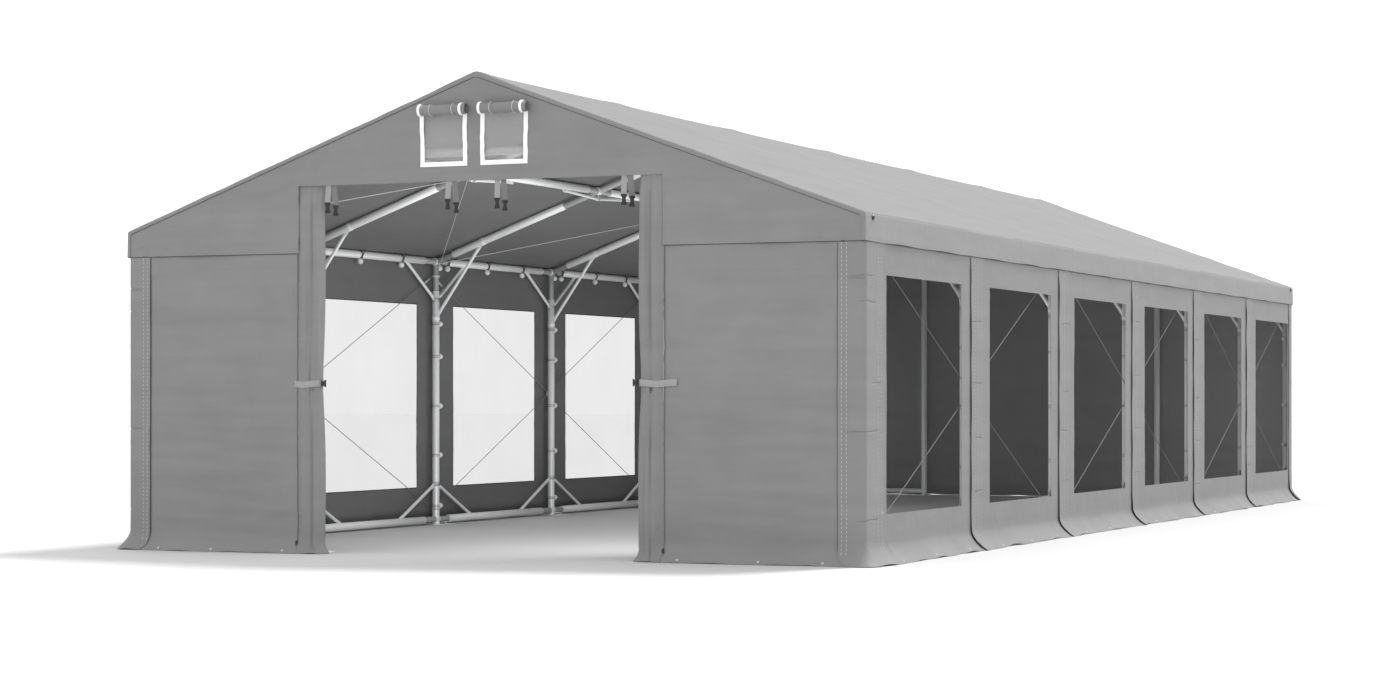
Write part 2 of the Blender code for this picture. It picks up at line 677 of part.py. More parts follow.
def frame_solids(ways, gable):
    """Overlapping solids of one portal frame: ways lists the directions along Y that its braces take."""
    solids = []

    def solid(add, *values, **named):
        bm = bmesh.new()
        add(bm, *values, **named)
        solids.append(bm)

    half_sleeve = Vector((0, SLEEVE_LENGTH / 2, 0))
    inward = sum(ways) * (PLATE_LENGTH / 2 - PLATE_EDGE) if gable else 0.0
    for x, z, toward in [(line[1], line[2], line[3]) for line in rail_lines()]:
        middle = Vector((x, 0, z))
        solid(add_tube, middle - half_sleeve, middle + half_sleeve, SLEEVE_RADIUS, toward)
    solid(add_rafters)
    for side in SIDES.values():
        solid(add_post, side)
        xs = sorted((side * (POST_X + PLATE_EDGE), side * (POST_X + PLATE_EDGE - PLATE_WIDTH)))
        low = (xs[0], inward - PLATE_LENGTH / 2, 0)
        solid(add_box, low, (xs[1], inward + PLATE_LENGTH / 2, PLATE_THICKNESS))
        along = Vector((0, 1, 0))
        knee = Vector((side * POST_X, 0, EAVE_HEIGHT - KNEE_DROP))
        solid(add_tube, knee, on_rafter(side, POST_X - KNEE_REACH), BRACE_RADIUS, along, BRACE_SIDES)
        eave, mid = on_rafter(side, POST_X), on_rafter(side, MID_PURLIN_X)
        lug = mid - Vector((0, 0, PURLIN_BRACE_DROP))
        if not gable:
            solid(add_tube, mid, lug - UP * LIGHT_BRACE_RADIUS, BRACE_RADIUS, along, BRACE_SIDES)
        for way in ways:
            outward = Vector((side, 0, 0))
            top_foot = Vector((side * POST_X, 0, EAVE_HEIGHT - EAVE_BRACE_DROP))
            top_head = eave + Vector((0, way * EAVE_BRACE_REACH, 0))
            solid(add_tube, top_foot, top_head, BRACE_RADIUS, outward, BRACE_SIDES)
            base_head = Vector((side * POST_X, 0, BASE_BRACE_HEIGHT))
            base_foot = Vector((side * POST_X, way * BASE_BRACE_REACH, BASE_RAIL_HEIGHT))
            solid(add_tube, base_head, base_foot, BRACE_RADIUS, outward, BRACE_SIDES)
            purlin_end = mid + Vector((0, way * PURLIN_BRACE_REACH, -TUBE_RADIUS))
            solid(add_tube, lug, purlin_end, LIGHT_BRACE_RADIUS, outward, BRACE_SIDES)
        if gable:
            foot = Vector((side * GABLE_POST_X, 0, PLATE_THICKNESS / 2))
            outer_x = GABLE_POST_X + TUBE_RADIUS / math.cos(math.pi / TUBE_SIDES)
            head = Vector((side * GABLE_POST_X, 0, roof_z(outer_x, SHEET + 2 * CLEARANCE)))
            solid(add_tube, foot, head, TUBE_RADIUS, along)
            low = (side * GABLE_POST_X - PLATE_WIDTH / 2, inward - PLATE_LENGTH / 2, 0)
            high = (side * GABLE_POST_X + PLATE_WIDTH / 2, inward + PLATE_LENGTH / 2, PLATE_THICKNESS)
            solid(add_box, low, high)
            start = Vector((side * GABLE_POST_X, 0, BASE_RAIL_HEIGHT))
            end = Vector((side * (POST_X - RAIL_STUB_RADIUS), 0, BASE_RAIL_HEIGHT))
            solid(add_tube, start, end, STUB_RADIUS)
    if gable:
        reach = GABLE_POST_X - TUBE_RADIUS / 2
        height = roof_z(GABLE_POST_X, RAFTER_DEPTH) - COLLAR_DROP
        solid(add_tube, Vector((-reach, 0, height)), Vector((reach, 0, height)), COLLAR_RADIUS)
    return solids


def frame_cutters():
    """Room for the rails: a bore through each sleeve and a cope where a brace meets a rail."""
    bm = bmesh.new()
    bore = SLEEVE_LENGTH / 2 + RAIL_STUB_RADIUS
    spans = [
        (-bore, bore, RAIL_STUB_RADIUS),
        (RAIL_STUB, RAIL_STUB + BASE_BRACE_REACH, TUBE_RADIUS),
        (-RAIL_STUB - BASE_BRACE_REACH, -RAIL_STUB, TUBE_RADIUS),
    ]
    for _, x, z, toward in rail_lines():
        for start, end, radius in spans:
            add_tube(bm, Vector((x, start, z)), Vector((x, end, z)), radius + CLEARANCE, toward)
    return bm


def build_frames():
    """Portal frames: the end ones carry gable posts and a collar tie, the others brace both ways."""
    end_mesh = fused_mesh("end_frame", frame_solids([1], True), frame_cutters())
    inner_mesh = fused_mesh("inner_frame", frame_solids([1, -1], False), frame_cutters())
    for index in range(BAY_COUNT + 1):
        at_end = index in (0, BAY_COUNT)
        turn = math.pi if index == BAY_COUNT else 0.0
        mesh = end_mesh if at_end else inner_mesh
        place_object(f"portal_frame_{index + 1}", mesh, STEEL, (0, frame_y(index), 0), turn)


# Bracing cables

def build_side_cables():
    """Crossing cable runs on each side: from the eave and the foot of every other post to mid height."""
    x_out = POST_X + TUBE_RADIUS + CLEARANCE + CABLE_RADIUS
    for side_name, side in SIDES.items():
        runs = []
        for end_height, way in ((EAVE_HEIGHT - CABLE_TOP_DROP, 1), (CABLE_BOTTOM, -1)):
            middle = CABLE_MIDDLE + way * CLAMP_CABLE_STEP
            heights = [end_height if index % 2 == 0 else middle for index in range(BAY_COUNT + 1)]
            runs.append([Vector((side * x_out, frame_y(index), z)) for index, z in enumerate(heights)])
        solids = []
        for run in runs:
            bm = bmesh.new()
            add_bent_tube(bm, run, CABLE_RADIUS, Vector((1, 0, 0)))
            solids.append(bm)
        for index in range(1, BAY_COUNT + 1, 2):
            bm = bmesh.new()
            half = CABLE_CLAMP / 2
            y = frame_y(index)
            add_box(bm, (side * x_out - CLAMP_THICKNESS / 2, y - half, CABLE_MIDDLE - half),
                    (side * x_out + CLAMP_THICKNESS / 2, y + half, CABLE_MIDDLE + half))
            solids.append(bm)
        mesh = fused_mesh(f"side_cable_{side_name}", solids)
        place_object(f"side_cables_{side_name}", mesh, CABLE_STEEL)


def build_roof_cables():
    """Cable under each slope, from eave joint to mid purlin joint and back, bay after bay."""
    depth = RAFTER_DEPTH + STUB_RADIUS + CLEARANCE + CABLE_RADIUS
    low_x = POST_X - ROOF_CABLE_EAVE_STEP
    high_x = MID_PURLIN_X + ROOF_CABLE_MID_STEP
    for side_name, side in SIDES.items():
        run = []
        for index in range(BAY_COUNT + 1):
            x = low_x if index % 2 == 0 else high_x
            run.append(Vector((side * x, frame_y(index), roof_z(x, depth))))
        bm = bmesh.new()
        add_bent_tube(bm, run, CABLE_RADIUS, sided_normal(side))
        make_object(f"roof_cable_{side_name}", bm, CABLE_STEEL)


for old in list(bpy.data.objects):
    bpy.data.objects.remove(old)

ROOF_SHEET = make_material("coated_roof_sheet", (0.78, 0.78, 0.78), 0.55)
WALL_SHEET = make_material("coated_wall_sheet", (0.74, 0.74, 0.74), 0.60)
WINDOW_FILM = make_material("clear_window_film", (0.85, 0.86, 0.87), 0.10, alpha=0.35)
VENT_MESH = make_material("vent_mesh", (0.35, 0.35, 0.35), 0.80, alpha=0.6)
WEBBING_FABRIC = make_material("light_webbing", (0.70, 0.70, 0.70), 0.85)
STEEL = make_material("galvanised_steel", (0.62, 0.63, 0.64), 0.35, metallic=1.0)
CABLE_STEEL = make_material("steel_cable", (0.50, 0.50, 0.50), 0.40, metallic=1.0)

build_roof()
build_gables()
build_vents()
build_end_walls()
build_corner_flaps()
build_rear_doors()
build_curtains()
build_ties()
build_hanging_straps()
build_side_walls()
build_rails()
build_frames()
build_side_cables()
build_roof_cables()
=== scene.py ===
"""Marquee tent: the looks of every piece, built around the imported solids.

Units are metres. The entrance gable faces -Y, the ridge runs along Y and the ground is Z = 0.
Every sheet is a thin shell whose outer face is a function of two parameters on a grid, and every
tube, strap and cord is a profile carried along a path.
"""

import logging
import math
from collections.abc import Callable, Sequence
from dataclasses import dataclass, field
from enum import Enum
from typing import Any

import bpy
import numpy as np
from mathutils import Euler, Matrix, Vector


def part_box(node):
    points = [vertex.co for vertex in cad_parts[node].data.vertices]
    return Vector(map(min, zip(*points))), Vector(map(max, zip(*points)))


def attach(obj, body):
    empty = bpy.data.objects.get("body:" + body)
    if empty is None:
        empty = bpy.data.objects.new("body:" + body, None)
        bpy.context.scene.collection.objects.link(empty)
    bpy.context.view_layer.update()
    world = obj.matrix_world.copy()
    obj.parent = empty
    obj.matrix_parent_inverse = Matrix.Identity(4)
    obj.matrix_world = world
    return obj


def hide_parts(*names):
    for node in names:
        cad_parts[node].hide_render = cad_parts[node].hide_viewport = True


Array = np.ndarray
Surface = Callable[[Array, Array], Array]
Material = bpy.types.Material
Socket = bpy.types.NodeSocket
Piece = bpy.types.Object

log = logging.getLogger("marquee")
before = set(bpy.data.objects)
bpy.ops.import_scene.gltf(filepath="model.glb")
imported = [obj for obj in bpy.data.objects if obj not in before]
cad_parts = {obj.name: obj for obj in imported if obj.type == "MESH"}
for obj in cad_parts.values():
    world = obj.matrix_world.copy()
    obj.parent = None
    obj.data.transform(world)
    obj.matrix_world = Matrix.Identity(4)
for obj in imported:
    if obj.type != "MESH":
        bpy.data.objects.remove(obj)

X_AXIS, Y_AXIS, Z_AXIS = np.eye(3)
SHEET_THICKNESS = 0.0012
UV_NAME = "metres"
BAND_SCALE = 0.314159  # a wave texture of this scale has bands one metre apart


# Small maths

def vec(x: float, y: float, z: float) -> Array:
    """Point or direction as an array."""
    return np.array([x, y, z], float)


def unit(v: Array) -> Array:
    """Vectors at length one; a zero vector stays zero."""
    length = np.linalg.norm(v, axis=-1, keepdims=True)
    return v / np.maximum(length, 1e-12)


def ease(x: Array | float, low: float, high: float) -> Array:
    """Smooth step 3t^2 - 2t^3 of x from 0 at low to 1 at high."""
    t = np.clip((np.asarray(x, float) - low) / (high - low), 0.0, 1.0)
    return t * t * (3 - 2 * t)


def bell(x: Array, middle: float, reach: float) -> Array:
    """Gaussian bump exp(-(d / reach)^2) of the distance d from the middle."""
    return np.exp(-(((x - middle) / reach) ** 2))


def ticks(stops: Sequence[float], step: float) -> Array:
    """Ordered places that include every stop, with about one step between them.

    Args:
        stops: Places that need a grid line, in any order.
        step: Wanted spacing.

    Returns:
        The places, evenly spread between neighbouring stops.
    """
    ordered = sorted(set(round(s, 6) for s in stops))
    runs = []
    for near, far in zip(ordered, ordered[1:]):
        count = max(1, round((far - near) / step))
        runs.append(np.linspace(near, far, count + 1)[:-1])
    return np.concatenate(runs + [np.array([ordered[-1]])])


def path_length(path: Array) -> Array:
    """Distance along a path of points, from zero at its first point."""
    return np.concatenate([[0.0], np.cumsum(np.linalg.norm(np.diff(path, axis=0), axis=1))])


def resampled(path: Array, count: int) -> Array:
    """Path with evenly spaced points, read off straight runs between the given ones."""
    along = path_length(path)
    places = np.linspace(0, along[-1], count)
    return np.stack([np.interp(places, along, path[:, k]) for k in range(3)], axis=1)


def rounded_path(points: Sequence[Array], radius: float, steps: int = 5) -> Array:
    """Straight runs with each corner replaced by a quadratic bend.

    Args:
        points: Corners of the path.
        radius: Distance from a corner at which its bend starts, less on short runs.
        steps: Points in one bend.

    Returns:
        Path of points.
    """
    corners = [np.asarray(p, float) for p in points]
    out = [corners[0][None]]
    t = np.linspace(0, 1, steps)[:, None]
    for before, corner, after in zip(corners, corners[1:], corners[2:]):
        reach = min(radius, np.linalg.norm(before - corner) / 2, np.linalg.norm(after - corner) / 2)
        start = corner + unit(before - corner) * reach
        end = corner + unit(after - corner) * reach
        out.append((1 - t) ** 2 * start + 2 * t * (1 - t) * corner + t**2 * end)
    out.append(corners[-1][None])
    return np.concatenate(out)


@dataclass(frozen=True)
class Ripples:
    """Soft unevenness of a hung sheet: a sum of slanted sine waves of seeded lengths and phases."""

    seed: int
    height: float
    along: tuple[float, float]
    up: tuple[float, float]
    count: int = 9

    def at(self, a: Array, b: Array) -> Array:
        """Height of the unevenness at distances a along the sheet and b up it.

        Each wave is sin(2 pi (a / la + b / lb) + phase), with la and lb drawn from the ranges and
        a random slant. The sum is scaled so that its usual height is the given one.
        """
        rng = np.random.default_rng(self.seed)
        total = np.zeros(np.broadcast(a, b).shape)
        for _ in range(self.count):
            la, lb = rng.uniform(*self.along), rng.uniform(*self.up)
            slant, phase = rng.choice((-1.0, 1.0)), rng.uniform(0, 2 * math.pi)
            total = total + np.sin(2 * math.pi * (a / la + slant * b / lb) + phase)
        return self.height * total / math.sqrt(self.count / 2)


# Finishes

def srgb(colour: str, share: float = 1.0) -> tuple[float, float, float, float]:
    """Linear colour of an sRGB hex value, by the standard's curve of power 2.4 with a straight foot."""
    values = [int(colour[k:k + 2], 16) / 255 for k in (1, 3, 5)]
    red, green, blue = (v / 12.92 if v <= 0.04045 else ((v + 0.055) / 1.055) ** 2.4 for v in values)
    return share * red, share * green, share * blue, 1.0


def add_node(tree: bpy.types.NodeTree, kind: str, settings: dict[str, Any] | None = None,
             inputs: dict[Any, Any] | None = None) -> bpy.types.Node:
    """Node with its settings; each input gets a value, or a link from the output that is given."""
    node = tree.nodes.new(kind)
    for name, value in (settings or {}).items():
        setattr(node, name, value)
    for key, value in (inputs or {}).items():
        if isinstance(value, Socket):
            tree.links.new(value, node.inputs[key])
        else:
            node.inputs[key].default_value = value
    return node


@dataclass
class Paint:
    """A material's nodes while they are added, with short forms of the patterns that finishes share."""

    tree: bpy.types.NodeTree
    shader: bpy.types.Node

    def put(self, name: str, value: Any) -> None:
        """Give an input of the shader a value or a link."""
        if isinstance(value, Socket):
            self.tree.links.new(value, self.shader.inputs[name])
        else:
            self.shader.inputs[name].default_value = value

    def flat(self) -> Socket:
        """Distances in metres on the flat cut."""
        return add_node(self.tree, "ShaderNodeUVMap", {"uv_map": UV_NAME}).outputs["UV"]

    def place(self) -> Socket:
        """Place on the object in metres."""
        return add_node(self.tree, "ShaderNodeTexCoord").outputs["Object"]

    def noise(self, place: Socket, scale: float, detail: float, rough: float = 0.5,
              warp: float = 0.0) -> Socket:
        """Cloudy noise from 0 to 1; a scale of 1 has clouds about a metre wide."""
        node = add_node(self.tree, "ShaderNodeTexNoise", inputs={
            "Vector": place, "Scale": scale, "Detail": detail, "Roughness": rough, "Distortion": warp})
        return node.outputs["Fac"]

    def bands(self, flat: Socket, period: float, way: str = "X", warp: float = 0.0) -> Socket:
        """Waves one period apart, in metres."""
        return add_node(self.tree, "ShaderNodeTexWave", {"bands_direction": way}, {
            "Vector": flat, "Scale": BAND_SCALE / period, "Distortion": warp}).outputs["Fac"]

    def weave(self, period: float) -> Socket:
        """Crossed threads one period apart, in metres."""
        flat = self.flat()
        return self.maths("MAXIMUM", self.bands(flat, period, "X"), self.bands(flat, period, "Y"))

    def maths(self, operation: str, first: Socket, second: Socket) -> Socket:
        """Two values joined by an operation."""
        node = add_node(self.tree, "ShaderNodeMath", {"operation": operation}, {0: first, 1: second})
        return node.outputs["Value"]

    def ramp(self, value: Socket, low: float, high: float, start: float = 0.0, end: float = 1.0) -> Socket:
        """Value from low to high while the given one goes from start to end."""
        node = add_node(self.tree, "ShaderNodeMapRange", inputs={
            "Value": value, "From Min": start, "From Max": end, "To Min": low, "To Max": high})
        return node.outputs["Result"]

    def blend(self, factor: Socket, first: tuple[float, ...], second: tuple[float, ...]) -> Socket:
        """Colour between two colours."""
        return add_node(self.tree, "ShaderNodeMix", {"data_type": "RGBA"}, {
            "Factor": factor, 6: first, 7: second}).outputs[2]

    def bump(self, height: Socket, strength: float, distance: float, under: Socket | None = None) -> Socket:
        """Normal over a height pattern, laid over another normal if one is given."""
        inputs = {"Strength": strength, "Distance": distance, "Height": height}
        if under is not None:
            inputs["Normal"] = under
        return add_node(self.tree, "ShaderNodeBump", inputs=inputs).outputs["Normal"]


@dataclass(frozen=True)
class Finish:
    """A real material: its colour, roughness and what its surface adds to the shader."""

    name: str
    colour: str
    roughness: float

    def dress(self, paint: Paint) -> None:
        """Add the pattern nodes; each kind of finish has its own."""

    def material(self) -> Material:
        """The Blender material, made once for each name."""
        known = bpy.data.materials.get(self.name)
        if known is not None:
            return known
        material = bpy.data.materials.new(self.name)
        material.use_nodes = True
        paint = Paint(material.node_tree, material.node_tree.nodes["Principled BSDF"])
        paint.put("Base Color", srgb(self.colour))
        paint.put("Roughness", self.roughness)
        self.dress(paint)
        return material


@dataclass(frozen=True)
class CoatedSheet(Finish):
    """Polyester cloth calendered with soft vinyl: matt and even, with the weave just showing through.

    The coating gives a dull satin sheen and faint clouds of tone. Level streaks of painted shade,
    stretched along the cloth, stand for the shading of shallow wrinkles, and soft creases from folding
    are bumps. The threads lie 1 mm apart and are drawn at 3 mm, because finer ones would not show.
    """

    shade: str = "#000000"
    thread: float = 0.003
    crease: float = 0.0016

    def dress(self, paint: Paint) -> None:
        """Cloudy tone with level streaks of painted shade, crossed thread bumps and creases."""
        place = paint.place()
        cloud = paint.noise(place, 2.6, 5.0, 0.62)
        # Painted shade: a noise stretched flat along the cloth darkens level bands, as wrinkles would shade
        # them.
        painted_shade_streak_stretch = {"Vector": place, "Scale": (0.45, 0.45, 4.5)}
        level = add_node(paint.tree, "ShaderNodeMapping", inputs=painted_shade_streak_stretch)
        streaks = paint.noise(level.outputs["Vector"], 2.4, 4.0, 0.6)
        # The darker shade colour is blended in by random clouds and by the painted shade streaks.
        tone = paint.ramp(paint.maths("ADD", cloud, streaks), 0.0, 1.0, 0.75, 1.25)
        paint.put("Base Color", paint.blend(tone, srgb(self.shade), srgb(self.colour)))
        threads = paint.bump(paint.weave(self.thread), 0.25, 0.0002)
        folds = paint.noise(place, 5.5, 6.0, 0.55, 0.8)
        paint.put("Normal", paint.bump(folds, 0.7, self.crease * 4, threads))
        paint.put("Roughness", paint.ramp(cloud, self.roughness - 0.06, self.roughness + 0.06))
        paint.put("Specular IOR Level", 0.35)


@dataclass(frozen=True)
class ClearFilm(Finish):
    """Press-polished clear vinyl: almost all light goes through, and soft waves bend its gloss."""

    alpha: float = 0.188

    def dress(self, paint: Paint) -> None:
        """Faint haze in clouds, and long waves under the gloss."""
        haze = paint.noise(paint.place(), 1.9, 4.0, 0.6)
        paint.put("Alpha", paint.ramp(haze, self.alpha * 0.95, self.alpha * 1.05, 0.3, 0.7))
        paint.put("Normal", paint.bump(haze, 0.5, 0.004))
        paint.put("IOR", 1.52)
        paint.put("Specular IOR Level", 0.01)


@dataclass(frozen=True)
class Netting(Finish):
    """Knitted insect net: fine threads with more air than yarn, drawn at 7 mm so that they show."""

    thread: float = 0.007

    def dress(self, paint: Paint) -> None:
        """Crossed threads about half solid, with a thinner veil between them for the finer ones."""
        paint.put("Alpha", paint.ramp(paint.weave(self.thread), 0.26, 0.48, 0.5, 0.95))


@dataclass(frozen=True)
class Webbing(Finish):
    """Flat woven strap or tape: close ribs run across it and catch the light."""

    rib: float = 0.0025

    def dress(self, paint: Paint) -> None:
        """Ribs across the strap as bump and as painted shade between them, and yarn fuzz."""
        ribs = paint.bands(paint.flat(), self.rib, warp=0.6)
        # The colour darkens between the ribs: painted shade in the grooves of the weave.
        paint.put("Base Color", paint.blend(ribs, srgb(self.colour, 0.72), srgb(self.colour)))
        paint.put("Normal", paint.bump(ribs, 0.6, 0.0004))
        paint.put("Sheen Weight", 0.15)


@dataclass(frozen=True)
class GalvanisedSteel(Finish):
    """Hot-dipped zinc: its grains give small patches of brighter and duller grey."""

    grain: float = 0.014
    metallic: float = 0.18

    def dress(self, paint: Paint) -> None:
        """Grain cells in tone and roughness, and a slow drift from the dip."""
        place = paint.place()
        cells = add_node(paint.tree, "ShaderNodeTexVoronoi", inputs={
            "Vector": place, "Scale": 1 / self.grain, "Randomness": 1.0})
        grey = add_node(paint.tree, "ShaderNodeSeparateColor", inputs={"Color": cells.outputs["Color"]})
        grains = paint.maths("MULTIPLY", grey.outputs["Red"], paint.noise(place, 7.0, 4.0, 0.6))
        paint.put("Base Color", paint.blend(grains, srgb(self.colour, 0.95), srgb(self.colour)))
        paint.put("Roughness", paint.ramp(grains, self.roughness + 0.08, self.roughness - 0.08))
        paint.put("Metallic", self.metallic)


@dataclass(frozen=True)
class WireRope(Finish):
    """Stranded steel cable: strands wind round it, so that light breaks into short slanted dashes."""

    lay: float = 0.012

    def dress(self, paint: Paint) -> None:
        """Slanted bands on the flat map, with painted shade between the strands."""
        strands = paint.bands(paint.flat(), self.lay, "DIAGONAL")
        # The colour darkens between the strands: painted shade in the grooves.
        paint.put("Base Color", paint.blend(strands, srgb(self.colour, 0.7), srgb(self.colour)))
        paint.put("Normal", paint.bump(strands, 0.8, 0.0008))
        paint.put("Metallic", 0.4)


@dataclass(frozen=True)
class FineGrained(Finish):
    """Moulded plastic or spun thread: even colour and a fine grain that softens its gloss."""

    grain: float = 0.0015

    def dress(self, paint: Paint) -> None:
        """Grain bump, and patches rubbed a little smoother."""
        place = paint.place()
        rubbed = paint.noise(place, 30.0, 2.0)
        paint.put("Roughness", paint.ramp(rubbed, self.roughness - 0.1, self.roughness + 0.1))
        paint.put("Normal", paint.bump(paint.noise(place, 1 / self.grain, 2.0), 0.3, 0.0002))


class Look(Enum):
    """Every finish of the tent."""

    ROOF = CoatedSheet("calendered_vinyl_cloth_roof", "#6a6a6a", 0.55, shade="#646464")
    # Same roof cloth painted lighter for the upright valances: painted light, not a different cloth.
    VALANCE = CoatedSheet("roof_cloth_painted_lighter_on_valance", "#858585", 0.55, shade="#7f7f7f")
    WALL = CoatedSheet("calendered_vinyl_cloth_wall", "#7e7e7e", 0.58, shade="#777777")
    # Darker copy of the wall cloth for the faces inside the tent: painted shade.
    WALL_INNER_SHADE = CoatedSheet("wall_cloth_painted_darker_inside", "#6c6c6c", 0.62, shade="#666666")
    TRIM = CoatedSheet("calendered_vinyl_cloth_trim", "#7e7e7e", 0.55, shade="#787878", crease=0.0010)
    BORDER = CoatedSheet("bleached_vinyl_binding", "#f4f4f4", 0.50, shade="#ececec", crease=0.0006)
    FILM = ClearFilm("press_polished_clear_vinyl", "#1c1c1c", 0.16)
    NET = Netting("knitted_insect_net", "#a6a6a6", 0.85)
    STRAP = Webbing("woven_polyester_strap", "#9c9c9c", 0.80)
    STRAP_DARK = Webbing("woven_polyester_strap_dark", "#787878", 0.80)
    THREAD = FineGrained("spun_polyester_thread", "#adadad", 0.70)
    SEAM = FineGrained("spun_polyester_thread_matched", "#808080", 0.70)
    STEEL = GalvanisedSteel("hot_dip_galvanised_steel", "#f0f1f2", 0.30)
    STUB = GalvanisedSteel("hot_dip_galvanised_connector", "#a6a7a8", 0.42)
    BOLT = GalvanisedSteel("zinc_plated_bolt", "#d0d2d4", 0.30, grain=0.004)
    ROPE = WireRope("stranded_steel_cable", "#ececec", 0.40)
    # Same steel cable as ROPE in a darker tone for the side runs outside the walls: painted shade, a tone
    # difference that stands for how the runs are lit.
    ROPE_PAINTED_DARKER = WireRope("stranded_steel_cable_painted_darker", "#969696", 0.50)
    BLACK = FineGrained("moulded_black_acetal", "#16161a", 0.42)
    WHITE = FineGrained("moulded_white_polypropylene", "#e6e6e6", 0.45)
    ELASTIC = Webbing("braided_black_elastic", "#1c1c1c", 0.75, rib=0.003)
    ZIP = Webbing("woven_zip_tape", "#767676", 0.80, rib=0.002)
    # Dark tape drawn where a thin shadow line falls along an edge: painted shadow.
    PAINTED_SHADOW_LINE = Webbing("painted_shadow_line_tape", "#3c3c3c", 0.80, rib=0.002)

    def material(self) -> Material:
        """The Blender material of this finish."""
        return self.value.material()


def settle(piece: Piece, nodes: Sequence[str] = ()) -> Piece:
    """Give a finished piece its body and the nodes that it stands for."""
    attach(piece, "root")
    if nodes:
        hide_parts(*nodes)
    log.info("%s: %d faces", piece.name, len(piece.data.polygons))
    return piece


# Shapes: closed parts gathered into one mesh

def signed_volume(points: Array, faces: list[Array]) -> float:
    """Volume inside faces by the divergence theorem, negative where they point inwards."""
    total = 0.0
    for group in faces:
        first = points[group[:, 0]]
        for k in range(1, group.shape[1] - 1):
            second, third = points[group[:, k]], points[group[:, k + 1]]
            total += float(np.einsum("ij,ij->", first, np.cross(second, third))) / 6
    return total


@dataclass
class Part:
    """Points and faces of one closed body; faces are arrays of corner indices, one for each corner count."""

    points: Array
    faces: list[Array]
    flat_map: Array | None = None


@dataclass
class Shape:
    """Parts of one piece on their way to a mesh, each with its looks."""

    parts: list[tuple[Part, tuple[Look, ...], Array | int]] = field(default_factory=list)

    def add(self, part: Part, *looks: Look, choice: Array | int = 0) -> None:
        """Take a closed part, turned so that its faces point outwards.

        Args:
            part: The part.
            looks: Its look, or several that its faces choose from.
            choice: Which of the looks, one number for all faces or one each.
        """
        faces = part.faces
        middle = part.points.mean(axis=0)
        if signed_volume(part.points - middle, faces) < 0:
            faces = [group[:, ::-1] for group in faces]
        self.parts.append((Part(part.points, faces, part.flat_map), looks, choice))

    def move(self, offset: Array) -> None:
        """Shift every part."""
        for part, _, _ in self.parts:
            part.points = part.points + offset

    def build(self, name: str, sharp_deg: float = 45) -> Piece:
        """Make the Blender object, with a material slot for each look.

        Args:
            name: The piece's name.
            sharp_deg: Faces that meet at a larger angle get a sharp edge.

        Returns:
            The object, at the origin with its place in its mesh.
        """
        slots = list(dict.fromkeys(look for _, looks, _ in self.parts for look in looks))
        points, faces, maps, numbers, start = [], [], [], [], 0
        for part, looks, choice in self.parts:
            points.append(part.points)
            maps.append(np.zeros((len(part.points), 2)) if part.flat_map is None else part.flat_map)
            number = np.array([slots.index(look) for look in looks], np.int32)[choice]
            for group in part.faces:
                faces += (group + start).tolist()
                numbers.append(np.broadcast_to(number, len(group)))
            start += len(part.points)
        mesh = bpy.data.meshes.new(name)
        mesh.from_pydata(np.concatenate(points).tolist(), [], faces)
        mesh.polygons.foreach_set("material_index", np.concatenate(numbers))
        corners = np.zeros(len(mesh.loops), np.int32)
        mesh.loops.foreach_get("vertex_index", corners)
        layer = mesh.uv_layers.new(name=UV_NAME)
        layer.data.foreach_set("uv", np.concatenate(maps)[corners].astype(np.float32).ravel())
        for look in slots:
            mesh.materials.append(look.material())
        mesh.shade_smooth()
        mesh.set_sharp_from_angle(angle=math.radians(sharp_deg))
        mesh.update()
        return linked(name, mesh)


def linked(name: str, data: Any) -> Piece:
    """Object of this data in the scene."""
    obj = bpy.data.objects.new(name, data)
    bpy.context.scene.collection.objects.link(obj)
    return obj


def grid_quads(rows: int, cols: int, wrap: bool = False, loop: bool = False) -> Array:
    """Corner indices of a grid's quads; wrap joins the last column to the first, loop the last row."""
    index = np.arange(rows * cols).reshape(rows, cols)
    if loop:
        index = np.concatenate([index, index[:1]])
    if wrap:
        index = np.concatenate([index, index[:, :1]], axis=1)
    return np.stack([index[:-1, :-1], index[:-1, 1:], index[1:, 1:], index[1:, :-1]], axis=-1).reshape(-1, 4)


def grid_normals(points: Array, outward: Array) -> Array:
    """Unit normals of a grid: the cross product of its two slopes, on the side of outward."""
    normal = unit(np.cross(np.gradient(points, axis=1), np.gradient(points, axis=0)))
    return normal if float((normal * outward).sum()) > 0 else -normal


